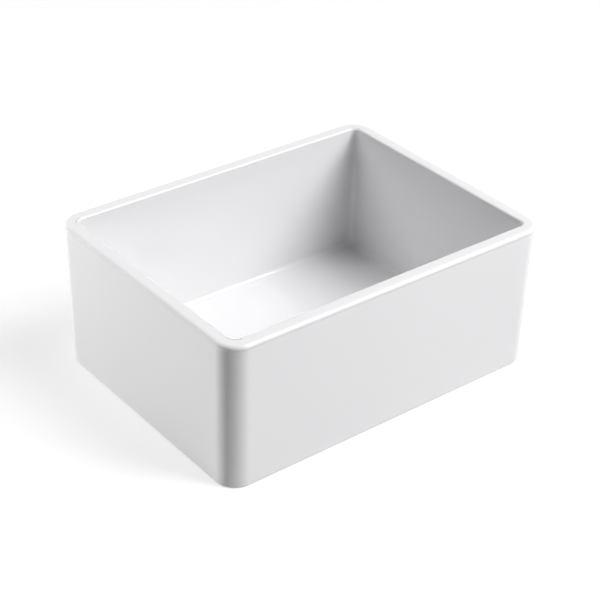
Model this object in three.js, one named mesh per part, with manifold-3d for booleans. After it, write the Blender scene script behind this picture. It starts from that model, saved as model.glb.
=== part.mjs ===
// Farmhouse apron front sink: a one-piece fireclay basin with its basket strainer drain.
//
// Millimetres, +Z up. The origin is the centre of the flat base that the basin rests on, on the
// axis of the drain. The apron front faces -Y and the basin's length runs along X.
//
// The basin is cast in one piece. The strainer body drops through its floor and is clamped by the
// lock nut underneath. The basket cup hangs in the mouth of the body and lifts straight out. The
// stopper slides on the cup's axis: down, its seal closes on the cone of the body; up, the water
// runs through the holes of the cup and past the seal. A rubber ring in the bush of the cup grips
// the stem, so the stopper stays up or down.

import * as THREE from "three";
import { mergeVertices } from "three/addons/utils/BufferGeometryUtils.js";
import Module from "manifold-3d";

const wasm = await Module();
wasm.setup();

// ---------------------------------------------------------------- driving dimensions

// Basin
const basinLength = 600;
const basinDepth = 454;
const basinHeight = 247;
const wallThickness = 22; // at the rim
const outerDraft = 2.5; // each outer wall leans in by this from the rim to the base
const bowlDraft = 3; // and each bowl wall by this
const floorThickness = 17; // at the drain
const floorFall = 4; // from the foot of the walls to the drain
const outerCornerRadius = 35; // upright corners
const innerCornerRadius = 12;
const rimOuterRadius = 6;
const rimBead = 0.8; // the rim's outer edge stands out from the outer walls by this
const rimBeadHeight = 9; // from the top of the rim to where it meets the wall
const rimInnerRadius = 3;
const baseEdgeRadius = 3;
const floorFillet = 9;
const drainDishRadius = 72; // the floor falls as far as this circle
const drainHoleRadius = 45;
const flangeRecessDepth = 3;
const gasketRecessRadius = 64; // ground level under the floor, for the gasket
const gasketRecessDepth = 3;

// Clearances
const slideGap = 0.4; // between pieces that slide or turn in each other
const threadGap = 0.4; // where a thread is left plain
const seatGap = 0.3; // between a tapered or round piece and its seat

// Strainer body
const flangeRadius = 56;
const flangeThickness = 1.8;
const flangeEdgeRadius = 0.8;
const flangeFall = 0.5; // from the edge of the flange to its mouth
const barrelRadius = 42.7;
const barrelWall = 2.4;
const barrelLength = 42; // from the top of the flange to the seat cone
const mouthDepth = 8; // flared lead-in that the basket cup hangs in
const mouthFlare = 1.8;
const mouthLip = 1.5; // rounding from the flare to the flange
const seatConeHeight = 10;
const seatConeRadius = 30; // small end of the cone that the stopper seals on
const sumpDepth = 7; // straight well below the cone
const crossbarLedge = 4;
const outletConeHeight = 7;
const outletBore = 19.5;
const outletThreadRadius = 23.7;
const outletLength = 24;
const outletNeckLength = 6; // plain length between the cone and the thread

// What clamps and seals the body in the basin
const puttyWidth = 9;
const puttySetback = 1; // from the edge of the flange
const gasketRadius = 60;
const gasketThickness = 5;
const frictionRadius = 57;
const frictionThickness = 1.2;
const lockNutHeight = 14;
const lockNutRim = 3; // wider ring that presses on the friction ring
const lockNutRimRadius = 55;
const lockNutRadius = 49;
const lockNutLugs = 8;
const lockNutLugReach = 5;
const lockNutLugWidth = 10;

// Tailpiece and its coupling
const tailRadius = 19.05;
const tailWall = 1.2;
const tailLength = 100;
const tailFlangeRadius = 23;
const tailFlangeThickness = 2;
const tailWasherThickness = 2;
const couplingHeight = 21;
const couplingLip = 3;
const couplingWall = 4.5;
const couplingRibs = 12;
const couplingRibReach = 2;
const couplingRibWidth = 5;

// Crossbar, pressed into the sump of the body
const crossbarThickness = 3;
const crossbarRing = 3.2;
const crossbarArms = 4;
const crossbarArmWidth = 6;
const crossbarHubRadius = 8.5;
const crossbarGuideRadius = 7.5;
const crossbarGuide = 5; // length of the guide under the hub

// Basket cup
const cupWall = 1;
const cupRimThickness = 1.5;
const cupRimChamfer = 0.5;
const cupRimDrop = 2; // from the top of the flange to the top of the rim
const cupShoulderRadius = 37;
const cupBaseRadius = 31;
const cupBaseFillet = 3;
const cupHoleRadius = 1.7;
const cupBaseRings = 3; // rings of holes in the base
const cupInnerRing = 15; // radius of the smallest ring
const cupRingPitch = 5;
const cupInnerHoles = 8; // holes in the smallest ring
const cupHolesMore = 4; // and how many more each wider ring has
const cupSideRows = 2;
const cupSideHoles = 16;
const cupSideLowest = 11; // lowest row of side holes above the base
const cupSidePitch = 8;

// Bush that guides the stem: it stands on the cup's base, staked over a washer underneath
const bushRadius = 8;
const bushHeight = 9;
const bushEdge = 1.2;
const bushShankRadius = 6;
const bushWasherRadius = 10;
const bushWasherThickness = 1.2;
const gripRingSection = 1.1; // radius of the rubber ring's round section

// Stopper
const stopperTravel = 6.5;
const travelClearance = 0.6;
const stemRadius = 3.5;
const stemTail = 12; // below the nut, through the crossbar
const stemTip = 1;
const collarRadius = 6;
const collarThickness = 1;
const plateRadius = 27;
const plateThickness = 1.2;
const plateLip = 1.6; // edge of the plate, turned up
const sealThickness = 4;
const sealDepth = 3.5; // top of the seal, below the top of the cone
const stemWasherRadius = 8;
const stemWasherThickness = 1;
const stemNutWidth = 11;
const stemNutHeight = 4;
const knobRadius = 11;
const knobWaist = 7;
const knobHeight = 22;
const knobCap = 9; // height of the round cap
const knobFlare = 2; // height of the foot that widens to the bush
const knobSocket = 12; // the stem screws into the knob as deep as this

// Facets
const roundSides = 36;
const smallSides = 24;
const holeSides = 6;
const lugSteps = 2;
const knobSteps = 10;
const sectionSides = 8; // of the grip ring
const cornerSteps = 8;
const edgeSteps = 4;
const filletSteps = 6;
const floorSteps = 3;

// ---------------------------------------------------------------- heights and radii that follow

const wallFootZ = floorThickness + floorFall;
const flangeTopZ = floorThickness;
const flangeSeatZ = flangeTopZ - flangeRecessDepth;
const flangeUnderZ = flangeTopZ - flangeThickness;
const barrelBore = barrelRadius - barrelWall;
const mouthFootZ = flangeTopZ - mouthDepth;
const seatTopZ = flangeTopZ - barrelLength;
const seatFootZ = seatTopZ - seatConeHeight;
const seatSlope = (barrelBore - seatConeRadius) / seatConeHeight;
const crossbarSeatZ = seatFootZ - sumpDepth;
const outletTopZ = crossbarSeatZ - outletConeHeight;
const outletEndZ = outletTopZ - outletLength;

const gasketUnderZ = gasketRecessDepth - gasketThickness;
const lockNutTopZ = gasketUnderZ - frictionThickness;

const tailTopZ = outletEndZ - tailWasherThickness;
const tailFlangeUnderZ = tailTopZ - tailFlangeThickness;
const tailEndZ = tailTopZ - tailLength;
const couplingBottomZ = tailFlangeUnderZ - couplingLip;

const sealTopZ = seatTopZ - sealDepth;
const sealBottomZ = sealTopZ - sealThickness;
const plateTopZ = sealTopZ + plateThickness;
const collarTopZ = plateTopZ + collarThickness;
const bushUnderZ = collarTopZ + stopperTravel + travelClearance;
const cupUnderZ = bushUnderZ + bushWasherThickness;
const cupBaseZ = cupUnderZ + cupWall;
const bushTopZ = cupBaseZ + bushHeight;
const cupRimTopZ = flangeTopZ - cupRimDrop;
const cupRimUnderZ = cupRimTopZ - cupRimThickness;
const stemWasherUnderZ = sealBottomZ - stemWasherThickness;
const stemNutUnderZ = stemWasherUnderZ - stemNutHeight;
const stemBottomZ = stemNutUnderZ - stemTail;
const knobUnderZ = bushTopZ + slideGap;
const stemTopZ = knobUnderZ + knobSocket;

// ---------------------------------------------------------------- solids and geometry

// A closed mesh as a solid, with the vertices that meet on a seam or a pole joined.
function solidFrom(geometry) {
  const bare = geometry.clone();
  bare.deleteAttribute("normal");
  bare.deleteAttribute("uv");
  const merged = mergeVertices(bare, 1e-4);
  return new wasm.Manifold(
    new wasm.Mesh({
      numProp: 3,
      vertProperties: merged.attributes.position.array,
      triVerts: new Uint32Array(merged.index.array),
    }),
  );
}

function geometryFrom(solid) {
  const { numProp, numVert, vertProperties, triVerts } = solid.getMesh();
  const positions = new Float32Array(numVert * 3);
  for (let i = 0; i < numVert; i++) {
    positions.set(vertProperties.subarray(i * numProp, i * numProp + 3), i * 3);
  }
  const geometry = new THREE.BufferGeometry();
  geometry.setAttribute("position", new THREE.BufferAttribute(positions, 3));
  geometry.setIndex(new THREE.BufferAttribute(triVerts, 1));
  geometry.computeVertexNormals();
  return geometry;
}

// Revolves a profile of [radius, height] about Z. The profile runs anticlockwise, seen with the
// radius to the right and the height up, and closes on itself unless both ends are on the axis.
function revolve(profile, sides = roundSides) {
  const points = profile.map(([radius, height]) => new THREE.Vector2(radius, height));
  const onAxis = profile[0][0] === 0 && profile.at(-1)[0] === 0;
  if (!onAxis) points.push(points[0].clone());
  return new THREE.LatheGeometry(points, sides).rotateX(Math.PI / 2);
}

// A plain ring between two radii and two heights.
function ring(inner, outer, bottom, top, sides = roundSides) {
  return revolve([[inner, bottom], [outer, bottom], [outer, top], [inner, top]], sides);
}

// A plain round rod or cutter on the axis.
function rod(radius, bottom, top, sides = roundSides) {
  return revolve([[0, bottom], [radius, bottom], [radius, top], [0, top]], sides);
}

// Points of an arc in a profile, as [radius, height].
function arc(centreR, centreZ, radius, fromDegrees, toDegrees, steps = edgeSteps) {
  return Array.from({ length: steps + 1 }, (_, i) => {
    const angle = THREE.MathUtils.degToRad(fromDegrees + ((toDegrees - fromDegrees) * i) / steps);
    return [centreR + radius * Math.cos(angle), centreZ + radius * Math.sin(angle)];
  });
}

// A round outline with square lugs or ribs standing on it, evenly spaced, extruded between two
// heights. Each lug has parallel sides, so its foot spans the angle that its width takes there.
function luggedBlock(radius, reach, count, width, bottom, top) {
  const shape = new THREE.Shape();
  const foot = Math.asin(width / 2 / radius);
  const tip = Math.asin(width / 2 / (radius + reach));
  for (let i = 0; i < count; i++) {
    const middle = (i * 2 * Math.PI) / count;
    shape.absarc(0, 0, radius + reach, middle - tip, middle + tip, false);
    shape.absarc(0, 0, radius, middle + foot, middle + (2 * Math.PI) / count - foot, false);
  }
  shape.closePath();
  const geometry = new THREE.ExtrudeGeometry(shape, {
    depth: top - bottom,
    bevelEnabled: false,
    curveSegments: lugSteps,
  });
  return geometry.translate(0, 0, bottom);
}

// Repeats a geometry about Z, as solids.
function aroundZ(geometry, count) {
  return Array.from({ length: count }, (_, i) =>
    solidFrom(geometry.clone().rotateZ((i * 2 * Math.PI) / count)),
  );
}

// Points of a quarter-round edge between two faces, as [distance from one, distance from the
// other], from the edge's end on the second face to its end on the first.
function quarterRound(radius, steps) {
  return Array.from({ length: steps + 1 }, (_, i) => {
    const angle = (i * Math.PI) / 2 / steps;
    return [radius * (1 - Math.sin(angle)), radius * (1 - Math.cos(angle))];
  });
}

// ---------------------------------------------------------------- basin

// One level of the basin: a rectangle with round corners, as a loop of points.
function roundedLevel(halfX, halfY, radius, z) {
  const loop = [];
  for (let corner = 0; corner < 4; corner++) {
    const centreX = (corner === 0 || corner === 3 ? 1 : -1) * (halfX - radius);
    const centreY = (corner < 2 ? 1 : -1) * (halfY - radius);
    for (let step = 0; step <= cornerSteps; step++) {
      const angle = ((corner + step / cornerSteps) * Math.PI) / 2;
      loop.push([centreX + radius * Math.cos(angle), centreY + radius * Math.sin(angle), z]);
    }
  }
  return loop;
}

// A round level, with as many points as a rounded one.
function roundLevel(radius, z) {
  const count = 4 * (cornerSteps + 1);
  return Array.from({ length: count }, (_, i) => {
    const angle = ((i + 0.5) * 2 * Math.PI) / count;
    return [radius * Math.cos(angle), radius * Math.sin(angle), z];
  });
}

// The level that lies a share of the way from one level to another.
function levelBetween(from, to, share) {
  return from.map((point, i) => point.map((value, axis) => {
    return THREE.MathUtils.lerp(value, to[i][axis], share);
  }));
}

// Skins levels from the bottom to the top, and closes both ends with a fan of triangles.
function loft(levels) {
  const count = levels[0].length;
  const positions = levels.flat(2);
  const indices = [];
  for (let level = 0; level + 1 < levels.length; level++) {
    for (let i = 0; i < count; i++) {
      const here = level * count + i;
      const next = level * count + ((i + 1) % count);
      indices.push(here, next, next + count, here, next + count, here + count);
    }
  }
  const bottomCentre = positions.length / 3;
  const topCentre = bottomCentre + 1;
  const topStart = (levels.length - 1) * count;
  positions.push(0, 0, levels[0][0][2], 0, 0, levels.at(-1)[0][2]);
  for (let i = 0; i < count; i++) {
    const next = (i + 1) % count;
    indices.push(bottomCentre, next, i, topCentre, topStart + i, topStart + next);
  }
  const geometry = new THREE.BufferGeometry();
  geometry.setAttribute("position", new THREE.Float32BufferAttribute(positions, 3));
  geometry.setIndex(indices);
  return geometry;
}

// The outside: flat base, eased bottom edge, leaning walls and the full outer edge of the rim,
// which stands out from the walls as a slight bead.
function basinBlock() {
  const level = (inset, z) => {
    const setback = inset + (outerDraft * (basinHeight - z)) / basinHeight;
    return roundedLevel(
      basinLength / 2 - setback,
      basinDepth / 2 - setback,
      outerCornerRadius - inset,
      z,
    );
  };
  const bottomEdge = quarterRound(baseEdgeRadius, edgeSteps).map(([inset, rise]) =>
    level(rimBead + inset, rise),
  );
  const beadFoot = level(rimBead, basinHeight - rimBeadHeight);
  const rimEdge = quarterRound(rimOuterRadius, edgeSteps)
    .map(([inset, drop]) => level(inset, basinHeight - drop))
    .reverse();
  return loft([...bottomEdge, beadFoot, ...rimEdge]);
}

// The room inside the bowl, from the dish round the drain up past the inner edge of the rim.
function bowlRoom() {
  const level = (inset, z) => {
    const lean = (bowlDraft * (basinHeight - z)) / basinHeight;
    const setback = wallThickness + lean + inset;
    return roundedLevel(
      basinLength / 2 - setback,
      basinDepth / 2 - setback,
      innerCornerRadius - inset,
      z,
    );
  };
  const fillet = quarterRound(floorFillet, filletSteps);
  const foot = fillet.map(([inset, rise]) => level(inset, wallFootZ + rise));
  const dish = roundLevel(drainDishRadius, floorThickness);
  const floor = Array.from({ length: floorSteps }, (_, i) =>
    levelBetween(dish, foot[0], i / floorSteps),
  );
  const rim = quarterRound(rimInnerRadius, edgeSteps).map(([drop, out]) =>
    level(-out, basinHeight - drop),
  );
  const above = level(-rimInnerRadius, basinHeight + rimInnerRadius);
  return loft([...floor, ...foot, ...rim, above]);
}

// The drain through the floor: the recess that the flange lies in, the hole, and the shallow
// recess underneath that the gasket presses into.
function drainCut() {
  const recessRadius = flangeRadius + 2 * seatGap;
  const above = wallFootZ + 1;
  const below = -1;
  return revolve([
    [0, below],
    [gasketRecessRadius, below],
    [gasketRecessRadius, gasketRecessDepth],
    [drainHoleRadius, gasketRecessDepth],
    [drainHoleRadius, flangeSeatZ],
    [recessRadius, flangeSeatZ],
    [recessRadius, above],
    [0, above],
  ]);
}

function sinkBasin() {
  const block = solidFrom(basinBlock());
  return geometryFrom(block.subtract(solidFrom(bowlRoom())).subtract(solidFrom(drainCut())));
}

// ---------------------------------------------------------------- strainer body

// One turned piece: flange, flared mouth, barrel, seat cone, sump with its ledge, and outlet.
function strainerBody() {
  const mouthRadius = barrelBore + mouthFlare;
  const mouthTopZ = flangeTopZ - flangeFall;
  const neckRadius = outletBore + barrelWall;
  const sumpRadius = seatConeRadius + barrelWall;
  const ledgeInner = seatConeRadius - crossbarLedge;
  const ledgeUnderZ = crossbarSeatZ - barrelWall;
  const threadTopZ = outletTopZ - outletNeckLength;
  const shoulder = outletThreadRadius - neckRadius;
  return revolve([
    [outletBore, outletEndZ],
    [outletThreadRadius, outletEndZ],
    [outletThreadRadius, threadTopZ - shoulder],
    [neckRadius, threadTopZ],
    [neckRadius, outletTopZ - barrelWall / 2],
    [ledgeInner + barrelWall, ledgeUnderZ],
    [sumpRadius, ledgeUnderZ],
    [sumpRadius, seatFootZ - barrelWall / 2],
    [barrelRadius, seatTopZ - barrelWall / 2],
    [barrelRadius, flangeUnderZ],
    [flangeRadius, flangeUnderZ],
    ...arc(flangeRadius - flangeEdgeRadius, flangeTopZ - flangeEdgeRadius, flangeEdgeRadius, 0, 90),
    ...arc(mouthRadius + mouthLip, mouthTopZ - mouthLip, mouthLip, 90, 180),
    [barrelBore, mouthFootZ],
    [barrelBore, seatTopZ],
    [seatConeRadius, seatFootZ],
    [seatConeRadius, crossbarSeatZ],
    [ledgeInner, crossbarSeatZ],
    [outletBore, outletTopZ],
  ]);
}

function puttyRing() {
  const outer = flangeRadius - puttySetback;
  return ring(outer - puttyWidth, outer, flangeSeatZ, flangeUnderZ);
}

function rubberGasket() {
  return ring(barrelRadius + threadGap, gasketRadius, gasketUnderZ, gasketRecessDepth);
}

function frictionRing() {
  return ring(barrelRadius + threadGap, frictionRadius, lockNutTopZ, gasketUnderZ);
}

// A wide rim above a narrower body with lugs for the spanner.
function lockNut() {
  const rimUnderZ = lockNutTopZ - lockNutRim;
  const bottomZ = lockNutTopZ - lockNutHeight;
  const rim = solidFrom(rod(lockNutRimRadius, rimUnderZ, lockNutTopZ));
  const body = solidFrom(
    luggedBlock(lockNutRadius, lockNutLugReach, lockNutLugs, lockNutLugWidth, bottomZ, rimUnderZ),
  );
  const bore = solidFrom(rod(barrelRadius + threadGap, bottomZ - 1, lockNutTopZ + 1));
  return geometryFrom(rim.add(body).subtract(bore));
}

// ---------------------------------------------------------------- outlet

function tailpieceWasher() {
  return ring(outletBore, tailFlangeRadius, tailTopZ, outletEndZ);
}

function tailpiece() {
  return revolve([
    [tailRadius - tailWall, tailEndZ],
    [tailRadius, tailEndZ],
    [tailRadius, tailFlangeUnderZ],
    [tailFlangeRadius, tailFlangeUnderZ],
    [tailFlangeRadius, tailTopZ],
    [tailRadius - tailWall, tailTopZ],
  ]);
}

// A ribbed cap nut: its lip draws the flange of the tailpiece up to the outlet.
function couplingNut() {
  const bore = outletThreadRadius + threadGap;
  const topZ = couplingBottomZ + couplingHeight;
  const block = solidFrom(
    luggedBlock(
      bore + couplingWall,
      couplingRibReach,
      couplingRibs,
      couplingRibWidth,
      couplingBottomZ,
      topZ,
    ),
  );
  const room = revolve([
    [0, couplingBottomZ - 1],
    [tailRadius + slideGap, couplingBottomZ - 1],
    [tailRadius + slideGap, tailFlangeUnderZ],
    [bore, tailFlangeUnderZ],
    [bore, topZ + 1],
    [0, topZ + 1],
  ]);
  return geometryFrom(block.subtract(solidFrom(room)));
}

// ---------------------------------------------------------------- crossbar

// A flat wheel on the ledge of the sump. Windows between its arms let the water through, and its
// hub reaches down to guide the tail of the stem.
function crossbar() {
  const outer = seatConeRadius - seatGap;
  const windowOuter = outer - crossbarRing;
  const topZ = crossbarSeatZ + crossbarThickness;
  const guideZ = crossbarSeatZ - crossbarGuide;
  const armAngle = (2 * Math.PI) / crossbarArms;
  const halfArm = (radius) => Math.asin(crossbarArmWidth / 2 / radius);
  const wheel = new THREE.Shape();
  for (let i = 0; i < crossbarArms; i++) {
    const from = i * armAngle;
    const to = from + armAngle;
    wheel.absarc(0, 0, outer, from, to, false);
    const window = new THREE.Path();
    const outerEdge = halfArm(windowOuter);
    const innerEdge = halfArm(crossbarHubRadius);
    window.absarc(0, 0, windowOuter, to - outerEdge, from + outerEdge, true);
    window.absarc(0, 0, crossbarHubRadius, from + innerEdge, to - innerEdge, false);
    window.closePath();
    wheel.holes.push(window);
  }
  const plate = new THREE.ExtrudeGeometry(wheel, {
    depth: crossbarThickness,
    bevelEnabled: false,
    curveSegments: edgeSteps,
  });
  plate.translate(0, 0, crossbarSeatZ);
  const guide = rod(crossbarGuideRadius, guideZ, topZ - crossbarThickness / 2, smallSides);
  const bore = rod(stemRadius + slideGap, guideZ - 1, topZ + 1, smallSides);
  return geometryFrom(solidFrom(plate).add(solidFrom(guide)).subtract(solidFrom(bore)));
}

// ---------------------------------------------------------------- basket

// Radius of the outer side of the cup at a height.
function cupRadiusAt(z) {
  const foot = cupUnderZ + cupBaseFillet;
  const share = (z - foot) / (cupRimUnderZ - foot);
  return THREE.MathUtils.lerp(cupBaseRadius, cupShoulderRadius, share);
}

// A spun cup with a rim that rests on the flare of the mouth, before it is pierced.
function cupShell() {
  const flareShare = (cupRimUnderZ - mouthFootZ) / (mouthDepth - flangeFall - mouthLip);
  const rimRadius = barrelBore + mouthFlare * flareShare - seatGap;
  const filletR = cupBaseRadius - cupBaseFillet;
  const filletZ = cupUnderZ + cupBaseFillet;
  const holeRadius = bushShankRadius + seatGap;
  return revolve([
    [holeRadius, cupUnderZ],
    ...arc(filletR, filletZ, cupBaseFillet, -90, 0),
    [cupShoulderRadius, cupRimUnderZ],
    [rimRadius, cupRimUnderZ],
    [rimRadius, cupRimTopZ - cupRimChamfer],
    [rimRadius - cupRimChamfer, cupRimTopZ],
    [cupShoulderRadius, cupRimTopZ],
    [cupShoulderRadius - cupWall, cupRimTopZ - cupWall],
    ...arc(filletR, filletZ, cupBaseFillet - cupWall, 0, -90),
    [holeRadius, cupBaseZ],
  ]);
}

// Cutters for the holes: rings of them in the base, and rows round the side.
function cupHoles() {
  const through = 4 * cupWall;
  const upright = rod(cupHoleRadius, -through, through, holeSides);
  const base = Array.from({ length: cupBaseRings }, (_, i) => {
    const hole = upright.clone().translate(cupInnerRing + i * cupRingPitch, 0, cupUnderZ);
    return aroundZ(hole, cupInnerHoles + i * cupHolesMore);
  });
  const side = Array.from({ length: cupSideRows }, (_, row) => {
    const z = cupBaseZ + cupSideLowest + row * cupSidePitch;
    const level = upright.clone().rotateY(Math.PI / 2).translate(cupRadiusAt(z), 0, z);
    const stagger = ((row % 2) * Math.PI) / cupSideHoles;
    return aroundZ(level.rotateZ(stagger), cupSideHoles);
  });
  return [...base, ...side].flat();
}

function basketCup() {
  const pierced = cupHoles().reduce((cup, hole) => cup.subtract(hole), solidFrom(cupShell()));
  return geometryFrom(pierced);
}

const gripRingRadius = stemRadius + seatGap + gripRingSection; // to the middle of its section
const gripRingZ = cupBaseZ + bushHeight / 2;

// The bush has a groove in its bore for the grip ring.
function basketBush() {
  const bore = stemRadius + slideGap;
  const grooveRadius = gripRingRadius + gripRingSection + seatGap;
  const grooveHalf = gripRingSection + seatGap;
  return revolve(
    [
      [bore, bushUnderZ],
      [bushShankRadius, bushUnderZ],
      [bushShankRadius, cupBaseZ],
      [bushRadius, cupBaseZ],
      ...arc(bushRadius - bushEdge, bushTopZ - bushEdge, bushEdge, 0, 90, 2),
      [bore, bushTopZ],
      [bore, gripRingZ + grooveHalf],
      [grooveRadius, gripRingZ + grooveHalf],
      [grooveRadius, gripRingZ - grooveHalf],
      [bore, gripRingZ - grooveHalf],
    ],
    smallSides,
  );
}

function bushWasher() {
  return ring(bushShankRadius + seatGap, bushWasherRadius, bushUnderZ, cupUnderZ, smallSides);
}

function gripRing() {
  const torus = new THREE.TorusGeometry(gripRingRadius, gripRingSection, sectionSides, smallSides);
  return torus.translate(0, 0, gripRingZ);
}

// ---------------------------------------------------------------- stopper

// The collar of the stem sits on the plate. Its tip is eased to find the crossbar's hole.
function stopperStem() {
  return revolve(
    [
      [0, stemBottomZ],
      [stemRadius - stemTip, stemBottomZ],
      [stemRadius, stemBottomZ + stemTip],
      [stemRadius, plateTopZ],
      [collarRadius, plateTopZ],
      [collarRadius, collarTopZ],
      [stemRadius, collarTopZ],
      [stemRadius, stemTopZ],
      [0, stemTopZ],
    ],
    smallSides,
  );
}

function stopperPlate() {
  const bore = stemRadius + seatGap;
  return revolve([
    [bore, sealTopZ],
    [plateRadius, sealTopZ],
    [plateRadius + plateLip / 2, plateTopZ + plateLip],
    [plateRadius - plateThickness + plateLip / 2, plateTopZ + plateLip],
    [plateRadius - plateThickness, plateTopZ],
    [bore, plateTopZ],
  ]);
}

// Its edge is a cone parallel to the seat, and its gap is measured square to the cone.
function stopperSeal() {
  const gap = seatGap * Math.hypot(1, seatSlope);
  const radiusAt = (z) => seatConeRadius + seatSlope * (z - seatFootZ) - gap;
  const bore = stemRadius + seatGap;
  return revolve([
    [bore, sealBottomZ],
    [radiusAt(sealBottomZ), sealBottomZ],
    [radiusAt(sealTopZ), sealTopZ],
    [bore, sealTopZ],
  ]);
}

function stemWasher() {
  const bore = stemRadius + seatGap;
  return ring(bore, stemWasherRadius, stemWasherUnderZ, sealBottomZ, smallSides);
}

function stemNut() {
  const hexagon = new THREE.Shape();
  const cornerRadius = stemNutWidth / 2 / Math.cos(Math.PI / 6);
  for (let i = 0; i < 6; i++) {
    const angle = (i * Math.PI) / 3;
    const corner = [cornerRadius * Math.cos(angle), cornerRadius * Math.sin(angle)];
    if (i === 0) hexagon.moveTo(...corner);
    else hexagon.lineTo(...corner);
  }
  const bore = new THREE.Path().absarc(0, 0, stemRadius + seatGap, 0, 2 * Math.PI, true);
  hexagon.holes.push(bore);
  const geometry = new THREE.ExtrudeGeometry(hexagon, {
    depth: stemNutHeight,
    bevelEnabled: false,
    curveSegments: smallSides / 2,
  });
  return geometry.translate(0, 0, stemNutUnderZ);
}

// A waisted pull knob with a domed cap, and a blind socket for the stem.
function stopperKnob() {
  const bore = stemRadius + threadGap;
  const socketTopZ = stemTopZ + threadGap;
  const capHalf = knobCap / 2;
  const capMiddleZ = knobUnderZ + knobHeight - capHalf;
  const capFoot = -Math.acos(knobWaist / knobRadius);
  const cap = Array.from({ length: knobSteps + 1 }, (_, i) => {
    const angle = THREE.MathUtils.lerp(capFoot, Math.PI / 2, i / knobSteps);
    return [knobRadius * Math.cos(angle), capMiddleZ + capHalf * Math.sin(angle)];
  });
  cap[knobSteps][0] = 0; // the crown lies on the axis
  return revolve(
    [
      [0, socketTopZ],
      [bore, socketTopZ],
      [bore, knobUnderZ],
      [bushRadius, knobUnderZ],
      [knobWaist, knobUnderZ + knobFlare],
      ...cap,
    ],
    smallSides,
  );
}

// ---------------------------------------------------------------- assembly

const glaze = { color: 0xf4f4f2, roughness: 0.12, metalness: 0 };
const stainless = { color: 0xc9ccce, roughness: 0.28, metalness: 1 };
const brass = { color: 0xc9a45c, roughness: 0.35, metalness: 1 };
const rubber = { color: 0x1d1d1f, roughness: 0.8, metalness: 0 };
const putty = { color: 0xb9b2a2, roughness: 0.9, metalness: 0 };
const fibre = { color: 0x9a6a48, roughness: 0.85, metalness: 0 };
const nylon = { color: 0xe6e4dc, roughness: 0.5, metalness: 0 };

function piece(name, geometry, finish) {
  const mesh = new THREE.Mesh(geometry, new THREE.MeshStandardMaterial(finish));
  mesh.name = name;
  return mesh;
}

function group(...children) {
  const made = new THREE.Group();
  made.add(...children);
  return made;
}

const drain = group(
  piece("putty_ring", puttyRing(), putty),
  piece("strainer_body", strainerBody(), stainless),
  piece("rubber_gasket", rubberGasket(), rubber),
  piece("friction_ring", frictionRing(), fibre),
  piece("lock_nut", lockNut(), brass),
  piece("crossbar", crossbar(), stainless),
  piece("tailpiece_washer", tailpieceWasher(), nylon),
  piece("tailpiece", tailpiece(), stainless),
  piece("coupling_nut", couplingNut(), brass),
);

const basket = group(
  piece("basket_cup", basketCup(), stainless),
  piece("basket_bush", basketBush(), stainless),
  piece("bush_washer", bushWasher(), stainless),
  piece("grip_ring", gripRing(), rubber),
);

const stopper = group(
  piece("stopper_stem", stopperStem(), stainless),
  piece("stopper_plate", stopperPlate(), stainless),
  piece("stopper_seal", stopperSeal(), rubber),
  piece("stem_washer", stemWasher(), stainless),
  piece("stem_nut", stemNut(), stainless),
  piece("stopper_knob", stopperKnob(), stainless),
);

const sink = group(piece("sink_basin", sinkBasin(), glaze), drain, basket, stopper);

export default sink;
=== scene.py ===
import math

import bmesh
import bpy
import numpy as np
from bpy.props import FloatProperty, FloatVectorProperty, IntProperty, PointerProperty
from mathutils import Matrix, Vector


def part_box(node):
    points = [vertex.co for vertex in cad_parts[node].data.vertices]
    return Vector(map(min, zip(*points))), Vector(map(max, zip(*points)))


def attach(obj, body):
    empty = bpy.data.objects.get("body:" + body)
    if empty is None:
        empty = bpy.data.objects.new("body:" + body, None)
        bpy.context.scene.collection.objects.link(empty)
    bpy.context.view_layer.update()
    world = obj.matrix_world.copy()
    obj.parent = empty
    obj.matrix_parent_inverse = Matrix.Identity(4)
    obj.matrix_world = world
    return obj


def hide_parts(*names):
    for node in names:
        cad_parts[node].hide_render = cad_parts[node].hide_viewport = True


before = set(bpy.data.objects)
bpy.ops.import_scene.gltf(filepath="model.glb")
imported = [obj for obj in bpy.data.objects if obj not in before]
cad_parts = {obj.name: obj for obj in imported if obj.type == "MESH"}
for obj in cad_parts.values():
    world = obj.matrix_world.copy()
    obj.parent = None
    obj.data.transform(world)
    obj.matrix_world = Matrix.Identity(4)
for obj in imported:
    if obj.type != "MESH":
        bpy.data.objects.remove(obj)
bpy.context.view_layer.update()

# A farmhouse apron front sink: a white fireclay basin cast in one piece, with its basket strainer
# drain. Metres, +Z up. The basin stands on z = 0 with the drain's axis at the origin, and its
# apron front faces -Y.

bl_info = {
    "name": "Apron Front Sink",
    "version": (1, 0, 0),
    "blender": (4, 5, 0),
    "location": "3D View > Sidebar > Sink",
    "description": "Builds a fireclay apron front sink and its basket strainer drain",
    "category": "Add Mesh",
}

MM = 0.001
CREST = 0.05 * MM  # a profile this close to a thread's crest carries the thread
MERGE = 0.002 * MM  # points closer than this are one point
RING_DRIFT = 0.2 * MM  # how far turning marks move in their noise for each radian
THREAD_STEPS = 8  # points of a thread for each pitch
NUT_LUGS = 8
COUPLING_RIBS = 12
FULL_TURN = 2 * math.pi
QUARTER_TURN = math.pi / 2


# ------------------------------------------------------------------ places taken from the frame


def outer_radius(node):
    """Radius of a round node that stands on the drain's axis."""
    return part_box(node)[1].x


def bottom(node):
    """Lowest height of a node."""
    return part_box(node)[0].z


def top(node):
    """Highest height of a node."""
    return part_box(node)[1].z


BASIN_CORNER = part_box("sink_basin")[1]


# ------------------------------------------------------------------ settings


def length(name, description, millimetres):
    """A length that the user can change, in metres."""
    return FloatProperty(
        name=name,
        description=description,
        default=millimetres * MM,
        min=0,
        precision=5,
        unit="LENGTH",
    )


def colour(name, description, red, green, blue):
    """A colour that the user can change."""
    return FloatVectorProperty(
        name=name,
        description=description,
        default=(red, green, blue, 1),
        size=4,
        min=0,
        max=1,
        subtype="COLOR",
    )


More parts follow.
